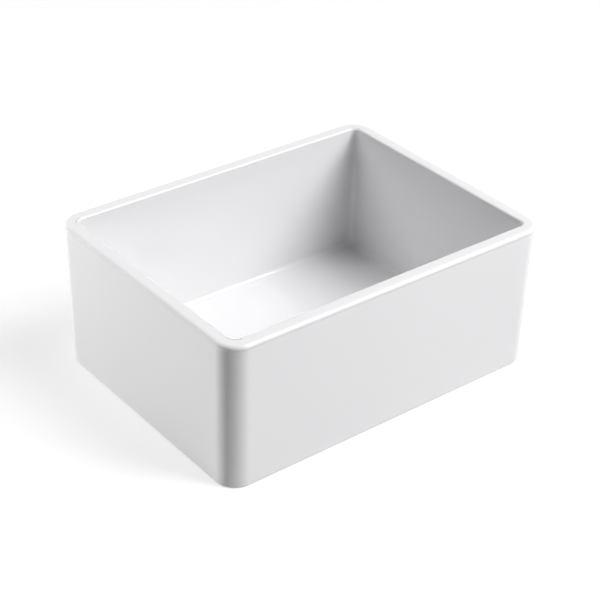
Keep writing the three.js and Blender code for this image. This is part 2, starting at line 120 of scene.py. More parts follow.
class BasinSettings(bpy.types.PropertyGroup):
    """Sizes and colours of the fireclay basin."""

    basin_length: length("Length", "Length of the basin along X", 2 * BASIN_CORNER.x / MM)
    basin_depth: length("Depth", "Depth of the basin from front to back", 2 * BASIN_CORNER.y / MM)
    basin_height: length("Height", "Height of the basin", BASIN_CORNER.z / MM)
    wall: length("Wall", "Thickness of the walls at the rim", 22)
    outer_draft: length("Outer draft", "Lean of each outer wall between the rim and the base", 2.5)
    bowl_draft: length("Bowl draft", "Lean of each bowl wall between the rim and the base", 3)
    outer_corner: length("Outer corner", "Radius of the upright outer corners", 35)
    inner_corner: length("Inner corner", "Radius of the upright inner corners", 12)
    rim_outer: length("Rim outside", "Rounding of the rim's outer edge", 6)
    rim_bead: length("Rim bead", "How far the rim's outer edge stands out from the walls", 0.8)
    bead_height: length("Bead height", "From the top of the rim to the foot of its bead", 9)
    rim_inner: length("Rim inside", "Rounding of the rim's inner edge", 3)
    base_edge: length("Base edge", "Rounding of the bottom edge", 3)
    floor_fillet: length("Floor fillet", "Rounding between the bowl's walls and its floor", 9)
    floor_top: length("Floor top", "Height of the floor at the drain", 17)
    floor_fall: length("Floor fall", "Fall of the floor from the walls to the drain", 4)
    dish: length("Dish", "Radius of the level ring round the drain", 72)
    recess: length("Recess", "Radius of the recess that the flange lies in", 56.6)
    recess_depth: length("Recess depth", "Depth of the flange's recess", 3)
    hole: length("Drain hole", "Radius of the hole through the floor", 45)
    under_recess: length("Gasket recess", "Radius of the recess under the floor", 64)
    under_depth: length("Gasket recess depth", "Depth of the recess under the floor", 3)
    lip: length("Lip", "Rounding of the edges round the drain hole", 0.8)
    glaze: colour("Glaze", "Colour of the glaze", 0.832, 0.832, 0.845)
    clay: colour("Clay", "Colour of the bare fireclay underneath", 0.56, 0.5, 0.42)
    corner_steps: IntProperty(name="Corner steps", description="Steps in a corner", default=24)
    side_steps: IntProperty(name="Side steps", description="Steps along a side", default=24)


class DrainSettings(bpy.types.PropertyGroup):
    """Sizes and colours of the strainer, its basket and its stopper."""

    gap: length("Gap", "Clearance between pieces that slide or screw together", 0.4)
    seat_gap: length("Seat gap", "Clearance between a round piece and its seat", 0.3)
    barrel: length("Barrel", "Outer radius of the strainer's barrel", 42.7)
    barrel_wall: length("Barrel wall", "Wall of the strainer's barrel", 2.4)
    barrel_length: length("Barrel length", "From the top of the flange to the seat cone", 42)
    mouth_flare: length("Mouth flare", "How far the mouth widens", 1.8)
    mouth_depth: length("Mouth depth", "Depth of the flared mouth", 8)
    mouth_lip: length("Mouth lip", "Rounding between the mouth and the flange", 1.5)
    flange_fall: length("Flange fall", "Fall of the flange from its edge to the mouth", 0.5)
    cone_height: length("Cone height", "Height of the cone that the stopper seals on", 10)
    sump: length("Sump", "Inner radius of the well under the cone", 30)
    sump_depth: length("Sump depth", "Depth of the well under the cone", 7)
    ledge: length("Ledge", "Width of the ledge that carries the crossbar", 4)
    outlet_cone: length("Outlet cone", "Height of the cone above the outlet", 7)
    outlet_bore: length("Outlet bore", "Bore of the outlet", 19.5)
    outlet_thread: length("Outlet thread", "Outer radius of the outlet's thread", 23.7)
    outlet_neck: length("Outlet neck", "Plain length above the outlet's thread", 6)
    thread_pitch: length("Thread pitch", "Pitch of the barrel's and the outlet's threads", 2)
    thread_depth: length("Thread depth", "Depth of those threads", 0.9)
    nut_rim: length("Nut rim", "Height of the lock nut's rim", 3)
    nut_rim_radius: length("Nut rim radius", "Radius of the lock nut's rim", 55)
    nut_body: length("Nut body", "Radius of the lock nut under its rim", 49)
    lug_reach: length("Lug reach", "How far the lock nut's lugs stand out", 5)
    lug_width: length("Lug width", "Width of a lug", 10)
    coupling_wall: length("Coupling wall", "Wall of the coupling nut", 4.5)
    coupling_lip: length("Coupling lip", "Thickness of the coupling nut's lip", 3)
    rib_reach: length("Rib reach", "How far the coupling nut's ribs stand out", 2)
    rib_width: length("Rib width", "Width of a rib", 5)
    tail: length("Tailpiece", "Outer radius of the tailpiece", 19.05)
    tail_wall: length("Tailpiece wall", "Wall of the tailpiece", 1.2)
    tail_flange: length("Tailpiece flange", "Thickness of the tailpiece's flange", 2)
    bar: length("Crossbar", "Thickness of the crossbar", 3)
    bar_ring: length("Crossbar ring", "Width of the crossbar's outer ring", 3.2)
    bar_arm: length("Crossbar arm", "Width of the crossbar's arms", 6)
    bar_hub: length("Crossbar hub", "Radius of the crossbar's hub", 8.5)
    bar_guide: length("Crossbar guide", "Radius of the guide under the hub", 7.5)
    cup_wall: length("Cup wall", "Wall of the basket cup", 1)
    cup_rim: length("Cup rim", "Thickness of the cup's rim", 1.5)
    cup_shoulder: length("Cup shoulder", "Outer radius of the cup under its rim", 37)
    cup_base: length("Cup base", "Outer radius of the cup's base", 31)
    cup_fillet: length("Cup fillet", "Outer rounding of the cup's base", 3)
    cup_hole: length("Cup hole", "Radius of the holes in the basket cup", 1.7)
    hole_ring: length("Hole ring", "Radius of the smallest ring of holes", 15)
    hole_pitch: length("Hole pitch", "Distance between the rings of holes", 5)
    side_lowest: length("Side holes", "Height of the lowest side holes above the base", 11)
    side_pitch: length("Side pitch", "Distance between the rows of side holes", 8)
    bush_shank: length("Bush shank", "Radius of the bush in the cup's base", 6)
    stem: length("Stem", "Radius of the stopper's stem", 3.5)
    collar: length("Collar", "Radius of the stem's collar", 6)
    collar_height: length("Collar height", "Height of the stem's collar", 1)
    plate: length("Plate", "Thickness of the stopper's plate", 1.2)
    plate_lip: length("Plate lip", "How far the plate's edge is turned up", 1.6)
    stem_pitch: length("Stem pitch", "Pitch of the stem's thread", 0.8)
    stem_cut: length("Stem cut", "Depth of the stem's thread", 0.35)
    nut_width: length("Stem nut", "Width across the flats of the stem's nut", 11)
    knob_waist: length("Knob waist", "Radius of the knob's waist", 7)
    knob_cap: length("Knob cap", "Height of the knob's cap", 9)
    knob_socket: length("Knob socket", "Depth of the stem in the knob", 12)
    steel: colour("Steel", "Colour of the stainless steel", 0.62, 0.63, 0.64)
    brass: colour("Brass", "Colour of the cast brass", 0.6, 0.45, 0.22)
    rubber: colour("Rubber", "Colour of the black rubber", 0.025, 0.025, 0.027)
    putty: colour("Putty", "Colour of the putty", 0.5, 0.46, 0.38)
    fibre: colour("Fibre", "Colour of the pressed fibre", 0.36, 0.19, 0.1)
    nylon: colour("Nylon", "Colour of the nylon", 0.78, 0.76, 0.7)


class StageSettings(bpy.types.PropertyGroup):
    """Floor and camera."""

    floor: colour("Floor", "Colour of the floor", 0.5, 0.5, 0.5)
    floor_radius: length("Floor radius", "Radius of the floor", 12000)
    floor_inset: length("Floor inset", "How far the floor reaches in under the basin", 12)
    floor_drop: length("Floor drop", "How far the floor lies below the base", 0.2)
    glow: FloatProperty(name="Glow", description="Floor's own light where seen", default=0.56)
    lens: FloatProperty(name="Lens", description="Focal length in millimetres", default=96.76)
    distance: length("Distance", "Distance from the camera to the basin's middle", 2517.7)


# ------------------------------------------------------------------ surfaces


def quads(rows, columns, wraps):
    """Corner numbers of the faces of a grid whose points are numbered row by row. The last
    column joins the first if the grid wraps."""
    row = np.arange(rows - 1)[:, None] * columns
    column = np.arange(columns if wraps else columns - 1)[None, :]
    after = (column + 1) % columns
    corners = (row + column, row + after, row + columns + after, row + columns + column)
    return np.stack(corners, axis=-1).reshape(-1, 4)


def mesh_of(name, grids):
    """One closed mesh from several grids of points, given as (points, wraps) with points of
    shape (rows, columns, 3). Points that meet on a seam or a pole are joined and the faces are
    turned outwards."""
    points = []
    faces = []
    count = 0
    for grid, wraps in grids:
        rows, columns, _ = grid.shape
        points.append(grid.reshape(-1, 3))
        faces.append(quads(rows, columns, wraps) + count)
        count += rows * columns
    points = np.concatenate(points).astype(np.float32)
    faces = np.concatenate(faces).astype(np.int32)
    mesh = bpy.data.meshes.new(name)
    mesh.vertices.add(len(points))
    mesh.vertices.foreach_set("co", points.ravel())
    mesh.loops.add(faces.size)
    mesh.polygons.add(len(faces))
    mesh.polygons.foreach_set("loop_start", np.arange(0, faces.size, 4, dtype=np.int32))
    mesh.polygons.foreach_set("vertices", faces.ravel())
    mesh.update(calc_edges=True)
    work = bmesh.new()
    work.from_mesh(mesh)
    bmesh.ops.remove_doubles(work, verts=work.verts, dist=MERGE)
    bmesh.ops.recalc_face_normals(work, faces=work.faces)
    work.to_mesh(mesh)
    work.free()
    mesh.shade_smooth()
    return mesh


def place(mesh, material, body, slot, node):
    """Links a finished piece, named as its mesh, that stands for a CAD node and moves with its
    body."""
    piece = bpy.data.objects.new(mesh.name, mesh)
    bpy.context.scene.collection.objects.link(piece)
    mesh.materials.append(material)
    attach(piece, body)
    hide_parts(node)


def outline(*corners, closed=True, steps=5, support=0.5 * MM):
    """A profile from corners (radius, height, rounding), as points (radius, height). It closes on
    itself, unless it is open: then it runs from the first corner to the last.

    Each corner becomes an arc tangent to its two sides: for a turn by the angle t and a rounding
    q, the arc starts q tan(t/2) before the corner, and its centre lies q to the inner side. Every
    side also gets a point close to each of its ends, which keeps the side's shading flat."""
    rows = np.array(corners, float)
    corner, rounding = rows[:, :2], rows[:, 2]
    side = np.roll(corner, -1, axis=0) - corner
    side_length = np.hypot(*side.T)
    ahead = side / side_length[:, None]
    behind = np.roll(ahead, 1, axis=0)
    turn = np.arctan2(
        behind[:, 0] * ahead[:, 1] - behind[:, 1] * ahead[:, 0], (behind * ahead).sum(axis=1)
    )
    cut = rounding * np.tan(np.abs(turn) / 2)
    start = corner - behind * cut[:, None]
    inward = np.sign(turn)[:, None] * np.stack([-behind[:, 1], behind[:, 0]], axis=1)
    centre = start + inward * rounding[:, None]
    angle = turn[:, None] * np.linspace(0, 1, steps + 1)
    spoke = -inward * rounding[:, None]
    arc = centre[:, None] + np.stack(
        [
            np.cos(angle) * spoke[:, None, 0] - np.sin(angle) * spoke[:, None, 1],
            np.sin(angle) * spoke[:, None, 0] + np.cos(angle) * spoke[:, None, 1],
        ],
        axis=-1,
    )
    room = np.roll(arc[:, 0], -1, axis=0) - arc[:, -1]
    reach = np.hypot(*room.T)[:, None]
    step = np.minimum(support, reach / 3)
    leaving = arc[:, -1] + ahead * step
    arriving = np.roll(arc[:, 0], -1, axis=0) - ahead * step
    profile = np.concatenate([arc, leaving[:, None], arriving[:, None]], axis=1).reshape(-1, 2)
    profile = np.concatenate([profile, profile[:1]]) if closed else profile[:-2]
    apart = np.hypot(*np.diff(profile, axis=0).T) > 1e-3 * MM
    return profile[np.concatenate([[True], apart])]


def around(sides):
    """Angles of one full turn."""
    return np.arange(sides) * FULL_TURN / sides


def revolved(radius, height, angle):
    """Points at (radius cos angle, radius sin angle, height), for arrays of any shape."""
    radius, height, angle = np.broadcast_arrays(radius, height, angle)
    return np.stack([radius * np.cos(angle), radius * np.sin(angle), height], axis=-1)


def thread(height, angle, low, high, pitch, depth):
    """Depth of a screw thread below its crests: a triangle wave of the height over the pitch, less
    the share of a turn. It fades out over a pitch at both ends."""
    wave = np.abs(2 * ((height / pitch - angle / FULL_TURN) % 1) - 1)
    fade = np.clip((height - low) / pitch, 0, 1) * np.clip((high - height) / pitch, 0, 1)
    return depth * wave * fade


def turned(name, profile, *threads, sides=144):
    """A turned piece: a profile carried round Z. Each thread is (crest radius, low, high, pitch,
    depth) and is cut inwards. Where a thread runs, the profile gets more points."""
    angle = around(sides)
    travelled = np.concatenate([[0], np.cumsum(np.hypot(*np.diff(profile, axis=0).T))])
    stops = travelled
    for crest, low, high, pitch, depth in threads:
        fine = np.arange(0, travelled[-1], pitch / THREAD_STEPS)
        radius, height = (np.interp(fine, travelled, profile[:, axis]) for axis in (0, 1))
        cut = (np.abs(radius - crest) < CREST) & (height > low) & (height < high)
        stops = np.union1d(stops, fine[cut])
    radius, height = (np.interp(stops, travelled, profile[:, axis])[:, None] for axis in (0, 1))
    shape = radius + 0 * angle
    for crest, low, high, pitch, depth in threads:
        cut = thread(height, angle, low, high, pitch, depth)
        shape = shape - np.where(np.abs(radius - crest) < CREST, cut, 0)
    return mesh_of(name, [(revolved(shape, height, angle), True)])


def lugged(radius, reach, count, width, rounding):
    """The outline of a nut, as points (x, y): a circle with square lugs of a given width, whose
    feet and tips span the angles asin(width / 2 radius) there."""
    pitch = FULL_TURN / count
    tip_radius = radius + reach
    foot = math.asin(width / 2 / radius)
    tip = math.asin(width / 2 / tip_radius)
    rest = np.linspace(foot, pitch - foot, 5)[1:-1]
    angle = np.concatenate([[-foot, -tip, 0, tip, foot], rest])
    lug = [radius, tip_radius, tip_radius, tip_radius, radius]
    reach_at = np.concatenate([lug, radius + 0 * rest])
    soft = np.concatenate([[rounding, rounding, 0, rounding, rounding], 0 * rest])
    angle = angle + np.arange(count)[:, None] * pitch
    x, y = reach_at * np.cos(angle), reach_at * np.sin(angle)
    corners = np.stack([x, y, soft + 0 * x], axis=-1).reshape(-1, 3)
    return outline(*corners, steps=3)[:-1]


def hexagon(width, steps=14):
    """The outline of a hexagon: its radius is half the width over the cosine of the angle from the
    middle of the nearest flat."""
    angle = around(6 * steps)
    across = (angle + FULL_TURN / 12) % (FULL_TURN / 6) - FULL_TURN / 12
    radius = width / 2 / np.cos(across)
    return np.stack([radius * np.cos(angle), radius * np.sin(angle)], axis=1)


def ringed(loop, profile):
    """Levels of circles with a point at the angle of each point of a loop, for a profile of
    (radius, height)."""
    return revolved(profile[:, :1], profile[:, 1:], np.arctan2(loop[:, 1], loop[:, 0]))


def stacked(loop, profile):
    """Levels of a loop: each point of the profile is (distance outwards, height), and the loop
    moves along its own normals."""
    ahead = np.roll(loop, -1, axis=0) - np.roll(loop, 1, axis=0)
    normal = np.stack([ahead[:, 1], -ahead[:, 0]], axis=1) / np.hypot(*ahead.T)[:, None]
    flat = loop + normal * profile[:, :1, None]
    height = np.broadcast_to(profile[:, 1, None, None], flat[..., :1].shape)
    return np.concatenate([flat, height], axis=-1)


def threaded_bore(loop, radius, bottom, top, pitch, depth, chamfer):
    """Levels of a threaded bore from the top down, with chamfered ends."""
    middle = np.arange(top - chamfer, bottom + chamfer, -pitch / THREAD_STEPS)
    height = np.concatenate([[top], middle, [bottom]])
    angle = np.arctan2(loop[:, 1], loop[:, 0])
    cut = thread(height[:, None], angle, bottom, top, pitch, depth)
    ends = np.zeros(len(height))
    ends[[0, -1]] = chamfer
    return revolved(radius + cut + ends[:, None], height[:, None], angle)


def cell_border(columns, rows):
    """The border of a square cell, anticlockwise from its first corner, as points (across, along)
    from -1 to 1."""
    across = np.linspace(-1, 1, columns + 1)[:-1]
    along = np.linspace(-1, 1, rows + 1)[:-1]
    sides = [
        np.stack([across, across * 0 - 1], axis=1),
        np.stack([along * 0 + 1, along], axis=1),
        np.stack([-across, across * 0 + 1], axis=1),
        np.stack([along * 0 - 1, -along], axis=1),
    ]
    return np.concatenate(sides)


def round_hole(radius):
    """A round hole: each point lies on the ray from the cell's middle to a point of its border."""

    def hole(border, out):
        ray = border / np.hypot(*border.T)[:, None]
        return (radius + out)[..., None] * ray

    return hole


def pierced_band(start, end, count, turn, hole, rounding, rows=4, columns=96):
    """Patches of a wall with one hole each, side by side round Z.

    The wall lies between two faces: start and end are its edges, each as the (radius, height) of
    its first face and of its second. A patch is one sheet of loops: on the first face from the
    cell's border in to the hole, through the wall with rounded edges, and on the second face out
    to the border again. The hole gives (across, along) in metres from the cell's middle, for the
    border and for the distance of each loop outside the hole."""
    start, end = np.array(start, float), np.array(end, float)
    half_length = math.hypot(*(end - start)[0]) / 2
    wall = math.hypot(*(start[1] - start[0]))
    border = cell_border(columns // count, rows)
    edge, sink = quarter_round(rounding, 3)
    rim = np.full(2, rounding)
    out = np.concatenate([rim, edge, edge[::-1], rim])[:, None]
    depth = np.concatenate([0 * rim, sink, wall - sink[::-1], wall + 0 * rim])[:, None] / wall
    share = np.concatenate([[0, 0.5], 1 + 0 * edge, 1 + 0 * edge, [0.5, 0]])[:, None]
    opening = hole(border, out)
    along = opening[..., 1] / half_length
    radius = start[0, 0] + (end - start)[0, 0] * (1 + along) / 2
    across = opening[..., 0] / radius
    edge_across = border[:, 0] * math.pi / count
    along = border[:, 1] + (along - border[:, 1]) * share
    across = edge_across + (across - edge_across) * share
    place = sum(
        (weight * face)[..., None] * corner
        for weight, corners in (((1 - along) / 2, start), ((1 + along) / 2, end))
        for face, corner in zip((1 - depth, depth), corners)
    )
    return [
        (revolved(place[..., 0], place[..., 1], across + centre), True)
        for centre in turn + around(count)
    ]


def strip(*corners, columns=96, **settings):
    """A turned strip with open ends, to be joined to pierced bands."""
    profile = outline(*corners, closed=False, **settings)
    return revolved(profile[:, :1], profile[:, 1:], around(columns)), True


# ------------------------------------------------------------------ materials


class Nodes:
    """A node tree, with nodes added and joined by name."""

    def __init__(self, tree):
        self.tree = tree

    def fill(self, socket, value):
        """Gives any socket a value or a link."""
        if isinstance(value, bpy.types.NodeSocket):
            self.tree.links.new(value, socket)
        else:
            socket.default_value = value

    def add(self, kind, sockets=None, **settings):
        """Adds a node, with its settings and what goes into its sockets."""
        node = self.tree.nodes.new(kind)
        for name, value in settings.items():
            setattr(node, name, value)
        for key, value in (sockets or {}).items():
            self.fill(node.inputs[key], value)
        return node

    def math(self, operation, *values):
        """A Math node's result."""
        return self.add(
            "ShaderNodeMath", dict(enumerate(values)), operation=operation
        ).outputs["Value"]

    def between(self, value, low, high, start=0.0, end=1.0):
        """Maps a value from low..high to start..end, and holds it there."""
        sockets = {
            "Value": value,
            "From Min": low,
            "From Max": high,
            "To Min": start,
            "To Max": end,
        }
        return self.add("ShaderNodeMapRange", sockets).outputs["Result"]

    def seen(self):
        """1 for rays that come from the camera, a mirror or glass, and 0 for light."""
        path = self.add("ShaderNodeLightPath").outputs
        seen = self.math("MAXIMUM", path["Is Camera Ray"], path["Is Glossy Ray"])
        return self.math("MAXIMUM", seen, path["Is Transmission Ray"])


class Finish(Nodes):
    """A procedural material: one Principled shader, with nodes added and joined by name."""

    def __init__(self, name, metallic=0.0):
        self.material = bpy.data.materials.new(name)
        self.material.use_nodes = True
        super().__init__(self.material.node_tree)
        self.shader = self.tree.nodes["Principled BSDF"]
        self.set("Metallic", metallic)
        self.place = self.add("ShaderNodeTexCoord").outputs["Object"]

    def set(self, socket, value):
        """Gives a socket of the shader a value or a link."""
        self.fill(self.shader.inputs[socket], value)

    def noise(self, scale, detail=3.0, at=None, roughness=0.5):
        """Noise from 0 to 1, with scale waves to the metre."""
        sockets = {
            "Vector": self.place if at is None else at,
            "Scale": scale,
            "Detail": detail,
            "Roughness": roughness,
        }
        return self.add("ShaderNodeTexNoise", sockets).outputs["Fac"]

    def blend(self, share, first, second):
        """A colour that goes from the first to the second with the share."""
        node = self.add("ShaderNodeMix", data_type="RGBA")
        self.fill(node.inputs[0], share)
        self.fill(node.inputs[6], first)
        self.fill(node.inputs[7], second)
        return node.outputs[2]

    def rings(self, frequency):
        """Noise that runs in rings round Z: its place is the distance from Z, the height and a
        little of the angle."""
        parts = self.add("ShaderNodeSeparateXYZ", {"Vector": self.place}).outputs
        level = self.add("ShaderNodeCombineXYZ", {"X": parts["X"], "Y": parts["Y"]}).outputs[0]
        reach = self.add(
            "ShaderNodeVectorMath", {0: level}, operation="LENGTH"
        ).outputs["Value"]
        turn = self.math("ARCTAN2", parts["Y"], parts["X"])
        turn = self.math("MULTIPLY", turn, RING_DRIFT)
        at = self.add("ShaderNodeCombineXYZ", {"X": reach, "Y": parts["Z"], "Z": turn})
        return self.noise(frequency, detail=2.0, at=at.outputs[0])

    def bump(self, height, distance, after=None):
        """Relief: the height times the distance, on top of an earlier relief."""
        sockets = {"Height": height, "Distance": distance, "Strength": 1.0}
        if after is not None:
            sockets["Normal"] = after
        return self.add("ShaderNodeBump", sockets).outputs["Normal"]


def shade(rgb, factor):
    """A colour made darker or lighter."""
    return tuple(min(1.0, value * factor) for value in rgb[:3]) + (1,)


def glaze_finish(settings):
    """Glossy white glaze with a faint drift of tone and orange peel, and bare grainy clay below
    an uneven line at the foot, where the basin stood in the kiln."""
    finish = Finish("white_glaze")
    drift = finish.noise(5.0, detail=2.0)
    glaze = finish.blend(drift, shade(settings.glaze, 0.985), shade(settings.glaze, 1.01))
    height = finish.add("ShaderNodeSeparateXYZ", {"Vector": finish.place}).outputs["Z"]
    edge = finish.between(finish.noise(60.0), 0.3, 0.7, 0.4 * MM, 1.4 * MM)
    above = finish.math("SUBTRACT", height, edge)
    glazed = finish.between(above, -0.1 * MM, 0.15 * MM)
    grain = finish.noise(900.0, detail=6.0, roughness=0.7)
    clay = finish.blend(grain, shade(settings.clay, 0.82), shade(settings.clay, 1.15))
    finish.set("Base Color", finish.blend(glazed, clay, glaze))
    wear = finish.between(finish.noise(14.0, detail=4.0), 0.3, 0.7, 0.05, 0.1)
    rough = finish.math("MULTIPLY", glazed, finish.math("SUBTRACT", 0.9, wear))
    finish.set("Roughness", finish.math("SUBTRACT", 0.9, rough))
    wave = finish.bump(finish.noise(9.0, detail=1.0), 0.12 * MM)
    peel = finish.bump(finish.noise(130.0, detail=2.0), 0.015 * MM, wave)
    grit = finish.math("MULTIPLY", grain, finish.math("SUBTRACT", 1.0, glazed))
    finish.set("Normal", finish.bump(grit, 0.25 * MM, peel))
    finish.set("IOR", 1.52)
    return finish.material


def steel_finish(settings):
    """Stainless steel with fine turning marks round the drain's axis and faint water marks."""
    finish = Finish("spun_stainless", metallic=1.0)
    marks = finish.rings(5200.0)
    cloud = finish.noise(45.0, detail=4.0)
    finish.set(
        "Base Color", finish.blend(cloud, shade(settings.steel, 0.93), shade(settings.steel, 1.05))
    )
    smear = finish.math("MULTIPLY", marks, 0.16)
    smear = finish.math("ADD", smear, finish.math("MULTIPLY", cloud, 0.1))
    finish.set("Roughness", finish.math("ADD", smear, 0.12))
    finish.set("Normal", finish.bump(marks, 0.006 * MM))
    finish.set("Anisotropic", 0.55)
    tangent = finish.add("ShaderNodeTangent", direction_type="RADIAL", axis="Z")
    finish.set("Tangent", tangent.outputs[0])
    return finish.material


def polished_finish(settings):
    """Polished stainless steel, for the small parts that are handled."""
    finish = Finish("polished_stainless", metallic=1.0)
    marks = finish.rings(3000.0)
    cloud = finish.noise(160.0, detail=5.0)
    finish.set(
        "Base Color", finish.blend(cloud, shade(settings.steel, 1.0), shade(settings.steel, 1.12))
    )
    finish.set("Roughness", finish.between(finish.math("ADD", marks, cloud), 0.5, 1.5, 0.07, 0.2))
    finish.set("Normal", finish.bump(marks, 0.002 * MM))
    return finish.material


def brass_finish(settings):
    """Cast brass: sand grain, darker and rougher where it has dulled."""
    finish = Finish("cast_brass", metallic=1.0)
    dull = finish.noise(70.0, detail=5.0, roughness=0.6)
    grain = finish.noise(1500.0, detail=4.0, roughness=0.7)
    finish.set(
        "Base Color",
        finish.blend(
            finish.between(dull, 0.35, 0.7), shade(settings.brass, 1.1), shade(settings.brass, 0.55)
        ),
    )
    finish.set("Roughness", finish.between(dull, 0.3, 0.75, 0.3, 0.55))
    finish.set("Normal", finish.bump(grain, 0.05 * MM))
    return finish.material


def rubber_finish(settings):
    """Moulded black rubber with a fine grain and a little bloom."""
    finish = Finish("black_rubber")
    bloom = finish.noise(120.0, detail=5.0, roughness=0.65)
    grain = finish.noise(2600.0, detail=3.0)
    dusty = finish.between(bloom, 0.45, 0.8)
    clean, bloomed = shade(settings.rubber, 1.0), shade(settings.rubber, 2.6)
    finish.set("Base Color", finish.blend(dusty, clean, bloomed))
    finish.set("Roughness", finish.between(bloom, 0.3, 0.8, 0.6, 0.85))
    finish.set("Normal", finish.bump(grain, 0.03 * MM))
    finish.set("Specular IOR Level", 0.35)
    return finish.material


def putty_finish(settings):
    """Soft putty, lumpy and matte."""
    finish = Finish("setting_putty")
    finish.set("Roughness", 0.85)
    lumps = finish.noise(260.0, detail=5.0, roughness=0.6)
    finish.set(
        "Base Color", finish.blend(lumps, shade(settings.putty, 0.8), shade(settings.putty, 1.1))
    )
    finish.set("Normal", finish.bump(lumps, 0.3 * MM))
    return finish.material


def fibre_finish(settings):
    """Pressed fibre board: short matted strands."""
    finish = Finish("pressed_fibre")
    finish.set("Roughness", 0.9)
    stretched = finish.add("ShaderNodeMapping", {"Vector": finish.place, "Scale": (1, 0.25, 1)})
    strands = finish.noise(1400.0, detail=6.0, at=stretched.outputs[0], roughness=0.75)
    finish.set(
        "Base Color", finish.blend(strands, shade(settings.fibre, 0.6), shade(settings.fibre, 1.4))
    )
    finish.set("Normal", finish.bump(strands, 0.08 * MM))
    return finish.material


def nylon_finish(settings):
    """Moulded nylon, slightly waxy."""
    finish = Finish("moulded_nylon")
    cloud = finish.noise(150.0, detail=3.0)
    finish.set(
        "Base Color", finish.blend(cloud, shade(settings.nylon, 0.93), shade(settings.nylon, 1.03))
    )
    finish.set("Roughness", finish.between(cloud, 0.3, 0.7, 0.38, 0.52))
    finish.set("Normal", finish.bump(finish.noise(900.0), 0.02 * MM))
    finish.set("Subsurface Weight", 0.15)
    finish.set("Subsurface Scale", 1.5 * MM)
    return finish.material


def finish_named(name, maker, settings):
    """A finish that is made once and shared by its pieces."""
    return bpy.data.materials.get(name) or maker(settings)


# ------------------------------------------------------------------ basin


def loop_layout(corner_steps, side_steps):
    """How the points of a rounded rectangle are spread: the corner of the core rectangle, as
    (-1..1, -1..1), that each point hangs on, and the direction in which it hangs. The points of a
    side crowd towards its ends, by the sine of their share."""
    signs = np.array([(1, 1), (-1, 1), (-1, -1), (1, -1)], float)
    quarter = np.arange(4)[:, None] * QUARTER_TURN
    corner_angle = quarter + np.linspace(0, QUARTER_TURN, corner_steps + 1)
    corner_core = np.repeat(signs[:, None], corner_steps + 1, axis=1)
    share = (1 + np.sin(np.linspace(-QUARTER_TURN, QUARTER_TURN, side_steps + 1)[1:-1])) / 2
    following = np.roll(signs, -1, axis=0)
    side_core = signs[:, None] + (following - signs)[:, None] * share[:, None]
    side_angle = quarter + QUARTER_TURN + 0 * share
    core = np.concatenate([corner_core, side_core], axis=1).reshape(-1, 2)
    angle = np.concatenate([corner_angle, side_angle], axis=1).ravel()
    return core, np.stack([np.cos(angle), np.sin(angle)], axis=1)


def rounded_loops(half_x, half_y, radius, height, layout):
    """Rounded rectangles at several heights: (half size - radius) times the core, plus the radius
    times the direction."""
    core, direction = layout
    half_x, half_y, radius, height = np.broadcast_arrays(half_x, half_y, radius, height)
    half = np.stack([half_x, half_y], axis=1) - radius[:, None]
    flat = half[:, None] * core + radius[:, None, None] * direction
    height = np.broadcast_to(height[:, None, None], flat[..., :1].shape)
    return np.concatenate([flat, height], axis=2)


def quarter_round(radius, steps):
    """A quarter arc between two faces, as the distances from both, from the second face to the
    first: radius (1 - sin) and radius (1 - cos)."""
    angle = np.linspace(0, QUARTER_TURN, steps + 1)
    return radius * (1 - np.sin(angle)), radius * (1 - np.cos(angle))


def eased(start, end, steps):
    """Numbers from start to end that crowd towards both, by a cosine."""
    return start + (end - start) * (1 - np.cos(np.linspace(0, math.pi, steps + 1))) / 2


